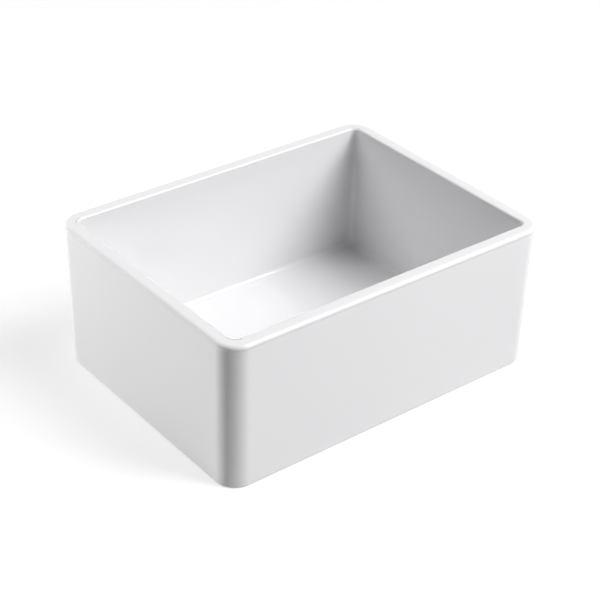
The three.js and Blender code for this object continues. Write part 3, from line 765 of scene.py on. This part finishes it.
class SINK_OT_basin(bpy.types.Operator):
    """Build the glazed fireclay basin"""

    bl_idname = "sink.basin"
    bl_label = "Basin"

    def execute(self, context):
        s = context.scene.basin
        half_x, half_y, rim = s.basin_length / 2, s.basin_depth / 2, s.basin_height
        layout = loop_layout(s.corner_steps, s.side_steps)

        def outside(inset, height):
            setback = s.outer_draft * (rim - height) / rim + inset
            return rounded_loops(
                half_x - setback, half_y - setback, s.outer_corner - inset, height, layout
            )

        def inside(inset, height):
            setback = s.wall + s.bowl_draft * (rim - height) / rim + inset
            return rounded_loops(
                half_x - setback, half_y - setback, s.inner_corner - inset, height, layout
            )

        base_inset, base_rise = quarter_round(s.base_edge, 8)
        edge_inset, edge_drop = quarter_round(s.rim_outer, 12)
        lip_drop, lip_out = quarter_round(s.rim_inner, 8)
        foot_inset, foot_rise = quarter_round(s.floor_fillet, 16)
        foot = s.floor_top + s.floor_fall
        wall_height = eased(s.base_edge, rim - s.bead_height, 16)
        swell = np.linspace(0, 1, 9)[1:-1]
        bead_inset = s.rim_bead * (1 + np.cos(math.pi * swell)) / 2
        bead_rise = rim - s.bead_height + (s.bead_height - s.rim_outer) * swell
        rim_inset = eased(s.rim_outer, s.wall - s.rim_inner, 6)
        bowl_height = eased(rim - s.rim_inner, foot + s.floor_fillet, 20)
        outer = [
            outside(s.rim_bead + base_inset, base_rise),
            outside(s.rim_bead + 0 * wall_height, wall_height),
            outside(bead_inset, bead_rise),
            outside(edge_inset[::-1], rim - edge_drop[::-1]),
            outside(rim_inset, rim + 0 * rim_inset),
        ]
        inner = [
            inside(-lip_out[::-1], rim - lip_drop[::-1]),
            inside(0 * bowl_height, bowl_height),
            inside(foot_inset[::-1], foot + foot_rise[::-1]),
        ]
        foot_loop = inner[-1][-1]
        across = np.arctan2(foot_loop[:, 1], foot_loop[:, 0])
        count = len(across)
        even = QUARTER_TURN + (
            np.arange(count) - s.corner_steps - s.side_steps / 2
        ) * FULL_TURN / count
        gap = (across - even + math.pi) % FULL_TURN - math.pi
        angle = even + gap / 2

        def rings(radius, height):
            return revolved(np.asarray(radius)[:, None], np.asarray(height)[:, None], angle)

        def ruled(start, end, share, rise):
            flat = start + (end - start) * share[:, None, None]
            flat[..., 2] = rise[:, None]
            return flat

        share = eased(0, 1, 18)
        bend = 0.12
        slope = (np.hypot(1 - share, bend) - bend) / (math.hypot(1, bend) - bend)
        dish_loop = rings([s.dish], [s.floor_top])[0]
        floor = ruled(foot_loop, dish_loop, share, s.floor_top + s.floor_fall * slope)
        seat = s.floor_top - s.recess_depth
        well = outline(
            (s.dish, s.floor_top, 0),
            (s.recess, s.floor_top, s.lip),
            (s.recess, seat, s.lip / 2),
            (s.hole, seat, s.lip),
            (s.hole, s.under_depth, s.lip),
            (s.under_recess, s.under_depth, s.lip / 2),
            (s.under_recess, 0, s.lip),
            (s.dish, 0, 0),
            closed=False,
        )
        drain = rings(well[:, 0], well[:, 1])
        share = eased(0, 1, 8)
        under = ruled(drain[-1], outer[0][0], share, 0 * share)
        levels = np.concatenate([*outer, *inner, floor, drain, under])
        mesh = mesh_of("glazed_basin", [(levels, True)])
        material = finish_named("white_glaze", glaze_finish, s)
        place(mesh, material, "sink", "glazed_fireclay", "sink_basin")
        return {"FINISHED"}


# ------------------------------------------------------------------ drain, fixed pieces


DRAIN_FINISHES = {
    "spun_stainless": (steel_finish, "stainless"),
    "polished_stainless": (polished_finish, "stainless"),
    "cast_brass": (brass_finish, "cast_brass"),
    "black_rubber": (rubber_finish, "black_rubber"),
    "setting_putty": (putty_finish, "putty"),
    "pressed_fibre": (fibre_finish, "fibre"),
    "moulded_nylon": (nylon_finish, "nylon"),
}


def drain_piece(finish, mesh, body, node):
    """Places a piece of the drain in one of the drain's finishes."""
    maker, slot = DRAIN_FINISHES[finish]
    material = finish_named(finish, maker, bpy.context.scene.drain)
    place(mesh, material, body, slot, node)


def washer(name, node, bore, rounding, bulge=0.0):
    """A flat ring between the heights of a node, as wide as the node, whose outer side bulges."""
    low, high, outer = bottom(node), top(node), outer_radius(node)
    middle = (low + high) / 2
    profile = outline(
        (bore, low, rounding),
        (outer - bulge, low, rounding),
        (outer, middle, 2 * rounding),
        (outer - bulge, high, rounding),
        (bore, high, rounding),
    )
    return turned(name, profile)


class SINK_OT_strainer(bpy.types.Operator):
    """Build the strainer body"""

    bl_idname = "sink.strainer"
    bl_label = "Strainer body"

    def execute(self, context):
        d = context.scene.drain
        face, under, end = top("strainer_body"), top("putty_ring"), bottom("strainer_body")
        rim = outer_radius("strainer_body")
        wall, bore = d.barrel_wall, d.barrel - d.barrel_wall
        cone_top = face - d.barrel_length
        cone_foot = cone_top - d.cone_height
        ledge_top = cone_foot - d.sump_depth
        outlet_top = ledge_top - d.outlet_cone
        neck = d.outlet_bore + wall
        thread_top = outlet_top - d.outlet_neck
        ledge = d.sump - d.ledge
        profile = outline(
            (d.outlet_bore, end, 0.3 * MM),
            (d.outlet_thread, end, 0.5 * MM),
            (d.outlet_thread, thread_top - (d.outlet_thread - neck), 0.4 * MM),
            (neck, thread_top, 0.4 * MM),
            (neck, outlet_top - wall / 2, 2 * MM),
            (ledge + wall, ledge_top - wall, 1.5 * MM),
            (d.sump + wall, ledge_top - wall, 1.8 * MM),
            (d.sump + wall, cone_foot - wall / 2, 2 * MM),
            (d.barrel, cone_top - wall / 2, 2 * MM),
            (d.barrel, under, 0.8 * MM),
            (rim, under, 0.5 * MM),
            (rim, face, 0.9 * MM),
            (bore + d.mouth_flare, face - d.flange_fall, d.mouth_lip),
            (bore, face - d.mouth_depth, 4 * MM),
            (bore, cone_top, 1.5 * MM),
            (d.sump, cone_foot, 0.8 * MM),
            (d.sump, ledge_top, 0.4 * MM),
            (ledge, ledge_top, 0.8 * MM),
            (d.outlet_bore, outlet_top, 2 * MM),
        )
        barrel = (d.barrel, cone_top, bottom("rubber_gasket") + d.thread_pitch)
        outlet = (d.outlet_thread, end, thread_top)
        cut = (d.thread_pitch, d.thread_depth)
        mesh = turned("spun_strainer", profile, barrel + cut, outlet + cut)
        drain_piece("spun_stainless", mesh, "sink", "strainer_body")
        return {"FINISHED"}


class SINK_OT_clamp(bpy.types.Operator):
    """Build what seals and clamps the strainer: putty, gasket, friction ring and lock nut"""

    bl_idname = "sink.clamp"
    bl_label = "Seals and lock nut"

    def execute(self, context):
        d = context.scene.drain
        bore = d.barrel + d.gap
        self.putty()
        gasket = washer("moulded_gasket", "rubber_gasket", bore, 0.6 * MM, 0.5 * MM)
        drain_piece("black_rubber", gasket, "sink", "rubber_gasket")
        ring = washer("fibre_ring", "friction_ring", bore, 0.15 * MM)
        drain_piece("pressed_fibre", ring, "sink", "friction_ring")
        self.nut(d, bore)
        return {"FINISHED"}

    def putty(self):
        """A bead that was pressed flat: its outer side bulges unevenly, by a sum of sines of the
        angle."""
        low, high, outer = bottom("putty_ring"), top("putty_ring"), outer_radius("putty_ring")
        angle = around(288)
        ripple = np.sin(5 * angle) + 0.7 * np.sin(13 * angle + 1) + 0.5 * np.sin(29 * angle + 2)
        squeeze = (ripple / 2.2 - 1) * 0.4 * MM
        bead, bulging = 9 * MM, 4 * MM
        profile = outline(
            (outer - bead, low, 0.3 * MM),
            (outer, low, 0.5 * MM),
            (outer, high, 0.5 * MM),
            (outer - bead, high, 0.3 * MM),
        )
        radius, height = profile[:, :1], profile[:, 1:]
        outside = radius > outer - bulging
        mesh = mesh_of(
            "bedding_putty", [(revolved(radius + squeeze * outside, height, angle), True)]
        )
        drain_piece("setting_putty", mesh, "sink", "putty_ring")

    def nut(self, d, bore):
        """A wide rim over a body with lugs for the spanner, and a threaded bore."""
        low, high = bottom("lock_nut"), top("lock_nut")
        step = high - d.nut_rim
        body = lugged(d.nut_body, d.lug_reach, NUT_LUGS, d.lug_width, 1.2 * MM)
        rim, edge = d.nut_rim_radius, 0.7 * MM
        rim_side = outline((bore, high, 0), (rim, high, edge), (rim, step, edge), closed=False)
        side = outline((0, step, 0), (0, low, 1 * MM), (-1.5 * MM, low, 0), closed=False)
        thread_side = threaded_bore(
            body, bore, low, high, d.thread_pitch, d.thread_depth, 0.9 * MM
        )
        rim_levels = ringed(body, rim_side[1:])
        levels = [rim_levels, stacked(body, side), thread_side[::-1], rim_levels[:1]]
        mesh = mesh_of("brass_lock_nut", [(np.concatenate(levels), True)])
        drain_piece("cast_brass", mesh, "sink", "lock_nut")


class SINK_OT_outlet(bpy.types.Operator):
    """Build the outlet: washer, tailpiece and coupling nut"""

    bl_idname = "sink.outlet"
    bl_label = "Outlet"

    def execute(self, context):
        d = context.scene.drain
        ring = washer("nylon_washer", "tailpiece_washer", d.outlet_bore, 0.4 * MM)
        drain_piece("moulded_nylon", ring, "sink", "tailpiece_washer")
        self.tailpiece(d)
        self.coupling(d)
        return {"FINISHED"}

    def tailpiece(self, d):
        """A drawn tube with a turned-out flange."""
        low, high = bottom("tailpiece"), top("tailpiece")
        flange = outer_radius("tailpiece")
        profile = outline(
            (d.tail - d.tail_wall, low, 0.3 * MM),
            (d.tail, low, 0.4 * MM),
            (d.tail, high - d.tail_flange, 0.6 * MM),
            (flange, high - d.tail_flange, 0.6 * MM),
            (flange, high, 0.7 * MM),
            (d.tail - d.tail_wall, high, 1.1 * MM),
        )
        drain_piece("spun_stainless", turned("drawn_tailpiece", profile), "sink", "tailpiece")

    def coupling(self, d):
        """A ribbed cap nut: a threaded bore over a lip that holds the tailpiece's flange."""
        low, high = bottom("coupling_nut"), top("coupling_nut")
        bore = d.outlet_thread + d.gap
        wall = bore + d.coupling_wall
        body = lugged(wall, d.rib_reach, COUPLING_RIBS, d.rib_width, 0.9 * MM)
        edge, rest = 0.6 * MM, -0.8 * MM
        side = outline(
            (rest, high, 0), (0, high, edge), (0, low, edge), (rest, low, 0), closed=False
        )
        lip_top = low + d.coupling_lip
        lip = outline(
            (d.tail + 3 * MM, low, 0),
            (d.tail + d.gap, low, 0.5 * MM),
            (d.tail + d.gap, lip_top, 0.4 * MM),
            (bore, lip_top, 0.3 * MM),
            (bore, lip_top + 0.8 * MM, 0),
            closed=False,
        )
        thread_side = threaded_bore(
            body, bore, lip_top + 1 * MM, high, d.thread_pitch, d.thread_depth, 0.8 * MM
        )
        outer = stacked(body, side)
        levels = [outer, ringed(body, lip), thread_side[::-1], outer[:1]]
        mesh = mesh_of("brass_coupling_nut", [(np.concatenate(levels), True)])
        drain_piece("cast_brass", mesh, "sink", "coupling_nut")


class SINK_OT_crossbar(bpy.types.Operator):
    """Build the crossbar that guides the stem"""

    bl_idname = "sink.crossbar"
    bl_label = "Crossbar"

    def execute(self, context):
        d = context.scene.drain
        face, foot, outer = top("crossbar"), bottom("crossbar"), outer_radius("crossbar")
        under = face - d.bar
        bore = d.stem + d.gap
        inside, outside = d.bar_hub, outer - d.bar_ring
        half_window = (outside - inside) / 2
        margin = 0.6 * MM
        softness = 7

        def window(border, out):
            """A sector between two arms: a square with soft corners, |x|^n + |y|^n = 1, whose
            height is the distance from the axis. Its sides run parallel to the arms."""
            size = (np.abs(border) ** softness).sum(axis=1) ** (1 / softness)
            x, y = (border / size[:, None]).T
            along = y * (half_window + out)
            radius = (inside + outside) / 2 + along
            half_angle = math.pi / 4 - np.arcsin(d.bar_arm / 2 / radius)
            return np.stack([x * (half_angle * radius + out), along], axis=-1)

        edges = (inside - margin, outside + margin)
        start, end = (((radius, face), (radius, under)) for radius in edges)
        rounding = 0.5 * MM
        hub = strip(
            (edges[0], face, 0),
            (bore, face, rounding),
            (bore, foot, rounding),
            (d.bar_guide, foot, rounding),
            (d.bar_guide, under, 0.3 * MM),
            (edges[0], under, 0),
            support=0.2 * MM,
        )
        ring = strip(
            (edges[1], face, 0),
            (outer, face, rounding),
            (outer, under, rounding),
            (edges[1], under, 0),
        )
        windows = pierced_band(start, end, 4, math.pi / 4, window, rounding, rows=16)
        mesh = mesh_of("cast_crossbar", [hub, ring, *windows])
        drain_piece("spun_stainless", mesh, "sink", "crossbar")
        return {"FINISHED"}


# ------------------------------------------------------------------ basket


class SINK_OT_basket(bpy.types.Operator):
    """Build the basket: the pierced cup, its bush, the washer and the grip ring"""

    bl_idname = "sink.basket"
    bl_label = "Basket"

    def execute(self, context):
        d = context.scene.drain
        self.cup(d)
        self.bush(d)
        bore = d.bush_shank + d.seat_gap
        mesh = washer("bush_backing", "bush_washer", bore, 0.25 * MM)
        drain_piece("polished_stainless", mesh, "basket", "bush_washer")
        self.grip()
        return {"FINISHED"}

    def cup(self, d):
        """A spun cup with a rolled rim, pierced by rings of holes in the base and staggered rows
        round the side."""
        under, rim_top, rim = bottom("basket_cup"), top("basket_cup"), outer_radius("basket_cup")
        floor, rim_under = under + d.cup_wall, rim_top - d.cup_rim
        foot = under + d.cup_fillet
        lean = (d.cup_shoulder - d.cup_base) / (rim_under - foot)

        def outer(height):
            return d.cup_base + lean * (height - foot), height

        def inner(height):
            return outer(height)[0] - d.cup_wall, height

        rings = d.hole_ring + d.hole_pitch * np.arange(3)
        holes = round_hole(d.cup_hole)
        edge = 0.25 * MM
        half = d.hole_pitch / 2
        parts = []
        for ring, count in zip(rings, (8, 12, 16)):
            start, end = (((r, floor), (r, under)) for r in (ring - half, ring + half))
            parts += pierced_band(start, end, count, 0, holes, edge)
        rows = floor + d.side_lowest + d.side_pitch * np.arange(2)
        half = d.side_pitch / 2
        for level, turn in zip(rows, (0, math.pi / 16)):
            start, end = ((inner(z), outer(z)) for z in (level - half, level + half))
            parts += pierced_band(start, end, 16, turn, holes, edge, rows=6)
        flat_start, flat_end = rings[0] - d.hole_pitch / 2, rings[-1] + d.hole_pitch / 2
        side_start, side_end = rows[0] - half, rows[-1] + half
        centre = d.bush_shank + d.seat_gap
        parts.append(
            strip(
                (flat_start, floor, 0),
                (centre, floor, edge),
                (centre, under, edge),
                (flat_start, under, 0),
            )
        )
        parts.append(
            strip((flat_end, under, 0), (*outer(under), d.cup_fillet), (*outer(side_start), 0))
        )
        parts.append(
            strip(
                (flat_end, floor, 0),
                (*inner(floor), d.cup_fillet - d.cup_wall),
                (*inner(side_start), 0),
            )
        )
        parts.append(
            strip(
                (*outer(side_end), 0),
                (*outer(rim_under), 0.8 * MM),
                (rim, rim_under, 0.6 * MM),
                (rim, rim_top, 0.8 * MM),
                (*inner(rim_top), 2.4 * MM),
                (*inner(side_end), 0),
            )
        )
        drain_piece("spun_stainless", mesh_of("pierced_cup", parts), "basket", "basket_cup")

    def bush(self, d):
        """A turned bush on the cup's base, with a groove for the grip ring and a staked shank."""
        low, high, outer = bottom("basket_bush"), top("basket_bush"), outer_radius("basket_bush")
        bore, floor = d.stem + d.gap, bottom("basket_cup") + d.cup_wall
        groove, half = outer_radius("grip_ring") + d.seat_gap, self.section() + d.seat_gap
        middle = (top("grip_ring") + bottom("grip_ring")) / 2
        profile = outline(
            (bore, low, 0.3 * MM),
            (d.bush_shank, low, 0.4 * MM),
            (d.bush_shank, floor, 0.1 * MM),
            (outer, floor, 0.3 * MM),
            (outer, high, 1.2 * MM),
            (bore, high, 0.5 * MM),
            (bore, middle + half, 0.2 * MM),
            (groove, middle + half, 0.3 * MM),
            (groove, middle - half, 0.3 * MM),
            (bore, middle - half, 0.2 * MM),
            support=0.2 * MM,
        )
        mesh = turned("turned_bush", profile, sides=96)
        drain_piece("polished_stainless", mesh, "basket", "basket_bush")

    def section(self):
        """Radius of the grip ring's section."""
        return (top("grip_ring") - bottom("grip_ring")) / 2

    def grip(self):
        """A ring of round section: (R + q cos a, q sin a) carried round Z."""
        section = self.section()
        angle = np.linspace(0, FULL_TURN, 25)
        radius = outer_radius("grip_ring") - section + section * np.cos(angle)
        height = bottom("grip_ring") + section + section * np.sin(angle)
        mesh = turned("grip_o_ring", np.stack([radius, height], axis=1), sides=96)
        drain_piece("black_rubber", mesh, "basket", "grip_ring")


# ------------------------------------------------------------------ stopper


class SINK_OT_stopper(bpy.types.Operator):
    """Build the stopper: stem, plate, seal, washer, nut and pull knob"""

    bl_idname = "sink.stopper"
    bl_label = "Stopper"

    def execute(self, context):
        d = context.scene.drain
        self.stem(d)
        self.plate(d)
        self.seal(d)
        bore = d.stem + d.seat_gap
        mesh = washer("seal_backing", "stem_washer", bore, 0.25 * MM)
        drain_piece("spun_stainless", mesh, "stopper", "stem_washer")
        self.nut(d)
        self.knob(d)
        return {"FINISHED"}

    def stem(self, d):
        """A turned stem with a collar over the plate and a thread for the nut under it."""
        low, high = bottom("stopper_stem"), top("stopper_stem")
        seat = bottom("stopper_plate") + d.plate
        radius, tip = d.stem, 1 * MM
        profile = outline(
            (0, low, 0),
            (radius - tip, low, 0.2 * MM),
            (radius, low + tip, 0.4 * MM),
            (radius, seat, 0.1 * MM),
            (d.collar, seat, 0.2 * MM),
            (d.collar, seat + d.collar_height, 0.3 * MM),
            (radius, seat + d.collar_height, 0.4 * MM),
            (radius, high, 0.3 * MM),
            (0, high, 0),
            closed=False,
            support=0.2 * MM,
        )
        nut_foot = bottom("stem_nut") - 3 * MM
        cut = (radius, nut_foot, bottom("stopper_seal"), d.stem_pitch, d.stem_cut)
        mesh = turned("threaded_stem", profile, cut, sides=96)
        drain_piece("polished_stainless", mesh, "stopper", "stopper_stem")

    def plate(self, d):
        """A spun disc whose edge is turned up."""
        low, high = bottom("stopper_plate"), top("stopper_plate")
        outer = outer_radius("stopper_plate")
        face, bore = low + d.plate, d.stem + d.seat_gap
        foot = outer - d.plate_lip / 2
        profile = outline(
            (bore, low, 0.2 * MM),
            (foot, low, 1.4 * MM),
            (outer, high, 0.4 * MM),
            (outer - d.plate, high, 0.4 * MM),
            (foot - d.plate, face, 0.9 * MM),
            (bore, face, 0.2 * MM),
        )
        drain_piece("spun_stainless", turned("stopper_disc", profile), "stopper", "stopper_plate")

    def seal(self, d):
        """A rubber disc whose edge is a cone parallel to the strainer's."""
        low, high, outer = bottom("stopper_seal"), top("stopper_seal"), outer_radius("stopper_seal")
        bore = d.stem + d.seat_gap
        slope = (d.barrel - d.barrel_wall - d.sump) / d.cone_height
        profile = outline(
            (bore, low, 0.3 * MM),
            (outer - slope * (high - low), low, 0.6 * MM),
            (outer, high, 0.6 * MM),
            (bore, high, 0.3 * MM),
        )
        drain_piece("black_rubber", turned("rubber_seal", profile), "stopper", "stopper_seal")

    def nut(self, d):
        """A hexagon whose corners are turned off by cones of 30 degrees at both faces: its radius
        is the lesser of the hexagon's and the cones'."""
        low, high = bottom("stem_nut"), top("stem_nut")
        body = hexagon(d.nut_width)
        height = eased(low, high, 24)[:, None]
        cone = 0.96 * d.nut_width / 2 + math.sqrt(3) * np.minimum(height - low, high - height)
        radius = np.minimum(np.hypot(*body.T), cone)
        side = revolved(radius, height, np.arctan2(body[:, 1], body[:, 0]))
        bore = threaded_bore(
            body, d.stem + d.seat_gap, low, high, d.stem_pitch, d.stem_cut, 0.4 * MM
        )
        mesh = mesh_of("hex_nut", [(np.concatenate([side, bore, side[:1]]), True)])
        drain_piece("polished_stainless", mesh, "stopper", "stem_nut")

    def knob(self, d):
        """A waisted knob with a blind socket. Its cap is half an ellipse: (R cos a, h sin a), from
        where it meets the waist to the crown."""
        low, high, outer = bottom("stopper_knob"), top("stopper_knob"), outer_radius("stopper_knob")
        bore, half = d.stem + d.gap, d.knob_cap / 2
        socket = low + d.knob_socket + d.gap
        foot = outer_radius("basket_bush")
        angle = np.linspace(-math.acos(d.knob_waist / outer), QUARTER_TURN, 26)
        radius = outer * np.cos(angle)
        radius[-1] = 0
        cap = np.stack([radius, high - half + half * np.sin(angle), 0 * angle], axis=1)
        cap[0, 2] = 0.8 * MM
        profile = outline(
            (0, socket, 0),
            (bore, socket, 0.3 * MM),
            (bore, low, 0.4 * MM),
            (foot, low, 0.5 * MM),
            (d.knob_waist, low + 2 * MM, 2 * MM),
            (d.knob_waist - 0.6 * MM, (low + high) / 2 - 2 * MM, 9 * MM),
            *cap,
            closed=False,
        )
        drain_piece("polished_stainless", turned("pull_knob", profile), "stopper", "stopper_knob")


# ------------------------------------------------------------------ stage


def aim(thing, target):
    """Turns a lamp or a camera towards a point."""
    away = thing.location - Vector(target)
    thing.rotation_euler = away.to_track_quat("Z", "Y").to_euler()


def softbox(name, azimuth, elevation, distance, size, power, mirrored=True):
    """A rectangular soft lamp: its direction from the basin is given in degrees, anticlockwise
    from +X and up. One that isn't mirrored leaves no highlight in the glaze."""
    lamp = bpy.data.lights.new(name, "AREA")
    lamp.shape = "RECTANGLE"
    lamp.size, lamp.size_y = size
    lamp.energy = power
    holder = bpy.data.objects.new(name, lamp)
    holder.visible_glossy = mirrored
    turn, rise = math.radians(azimuth), math.radians(elevation)
    level = math.cos(rise)
    towards = Vector((math.cos(turn) * level, math.sin(turn) * level, math.sin(rise)))
    holder.location = distance * towards
    bpy.context.scene.collection.objects.link(holder)
    aim(holder, (0, 0, BASIN_CORNER.z / 2))


class SINK_OT_stage(bpy.types.Operator):
    """Set up the floor, the lamps, the sky and the camera"""

    bl_idname = "sink.stage"
    bl_label = "Stage"

    def execute(self, context):
        s = context.scene.stage
        self.floor(s)
        self.sky(context.scene)
        softbox("key_softbox", 310, 50, 6, (2.6, 4.4), 338)
        softbox("front_softbox", 300, 25, 6, (3, 2.8), 84)
        softbox("side_softbox", 130, 2.3, 3, (0.5, 0.2), 66, mirrored=False)
        softbox("back_softbox", 130, 55, 3, (0.9, 2.2), 30, mirrored=False)
        self.camera(context.scene, s)
        return {"FINISHED"}

    def floor(self, s):
        """A flat sheet round the basin's base, open underneath for the drain: rounded rectangles
        whose reach grows by the same factor from one to the next."""
        reach = s.floor_radius / s.floor_inset
        grown = s.floor_inset * (reach ** np.linspace(0, 1, 24) - 2)
        corner = 3 * s.floor_inset + grown
        layout = loop_layout(6, 4)
        half_x, half_y = BASIN_CORNER.x + grown, BASIN_CORNER.y + grown
        levels = rounded_loops(half_x, half_y, corner, -s.floor_drop + 0 * grown, layout)
        rows, columns, _ = levels.shape
        mesh = bpy.data.meshes.new("floor")
        mesh.from_pydata(levels.reshape(-1, 3), [], quads(rows, columns, True))
        finish = Finish("floor_paper")
        finish.set("Roughness", 0.9)
        finish.set("Base Color", s.floor)
        mesh.materials.append(finish.material)
        glow = finish.add("ShaderNodeEmission", {"Color": (1, 1, 1, 1)})
        finish.fill(glow.inputs["Strength"], finish.math("MULTIPLY", finish.seen(), s.glow))
        both = finish.add("ShaderNodeAddShader")
        finish.fill(both.inputs[0], finish.shader.outputs[0])
        finish.fill(both.inputs[1], glow.outputs[0])
        output = finish.tree.nodes["Material Output"]
        finish.fill(output.inputs["Surface"], both.outputs[0])
        floor = bpy.data.objects.new("floor", mesh)
        bpy.context.scene.collection.objects.link(floor)

    def sky(self, scene):
        """White where it is seen, and dark as light."""
        scene.world = bpy.data.worlds.new("studio")
        scene.world.use_nodes = True
        sky = Nodes(scene.world.node_tree)
        background = sky.tree.nodes["Background"]
        background.inputs["Color"].default_value = (1, 1, 1, 1)
        sky.fill(background.inputs["Strength"], sky.seen())

    def camera(self, scene, s):
        """The photograph's viewpoint: where the camera stands round the basin, how high, how far
        and how it leans."""
        azimuth, elevation, roll = (math.radians(a) for a in (-38.85, 32.11, 1.603))
        target = Vector((-17.04 * MM, -23.48 * MM, BASIN_CORNER.z / 2))
        back = Vector(
            (
                math.sin(azimuth) * math.cos(elevation),
                -math.cos(azimuth) * math.cos(elevation),
                math.sin(elevation),
            )
        )
        lens = bpy.data.cameras.new("camera")
        lens.lens = s.lens
        lens.clip_end = 50
        camera = bpy.data.objects.new("camera", lens)
        camera.location = target + back * s.distance
        camera.rotation_euler = (-back).to_track_quat("-Z", "Y").to_euler()
        camera.rotation_euler.rotate_axis("Z", roll)
        scene.collection.objects.link(camera)
        scene.camera = camera


class SINK_PT_panel(bpy.types.Panel):
    """Lists the pieces of the sink"""

    bl_idname = "SINK_PT_panel"
    bl_label = "Apron Front Sink"
    bl_space_type = "VIEW_3D"
    bl_region_type = "UI"
    bl_category = "Sink"

    def draw(self, context):
        for piece in PIECES:
            self.layout.operator(piece.bl_idname)


PIECES = (
    SINK_OT_basin,
    SINK_OT_strainer,
    SINK_OT_clamp,
    SINK_OT_outlet,
    SINK_OT_crossbar,
    SINK_OT_basket,
    SINK_OT_stopper,
    SINK_OT_stage,
)
CLASSES = (BasinSettings, DrainSettings, StageSettings, *PIECES, SINK_PT_panel)


def register():
    for cls in CLASSES:
        bpy.utils.register_class(cls)
    bpy.types.Scene.basin = PointerProperty(type=BasinSettings)
    bpy.types.Scene.drain = PointerProperty(type=DrainSettings)
    bpy.types.Scene.stage = PointerProperty(type=StageSettings)


def unregister():
    del bpy.types.Scene.stage
    del bpy.types.Scene.drain
    del bpy.types.Scene.basin
    for cls in reversed(CLASSES):
        bpy.utils.unregister_class(cls)


def main():
    register()
    bpy.context.scene.view_settings.view_transform = "Standard"
    bpy.ops.sink.basin()
    bpy.ops.sink.strainer()
    bpy.ops.sink.clamp()
    bpy.ops.sink.outlet()
    bpy.ops.sink.crossbar()
    bpy.ops.sink.basket()
    bpy.ops.sink.stopper()
    bpy.ops.sink.stage()


if __name__ == "__main__":
    main()
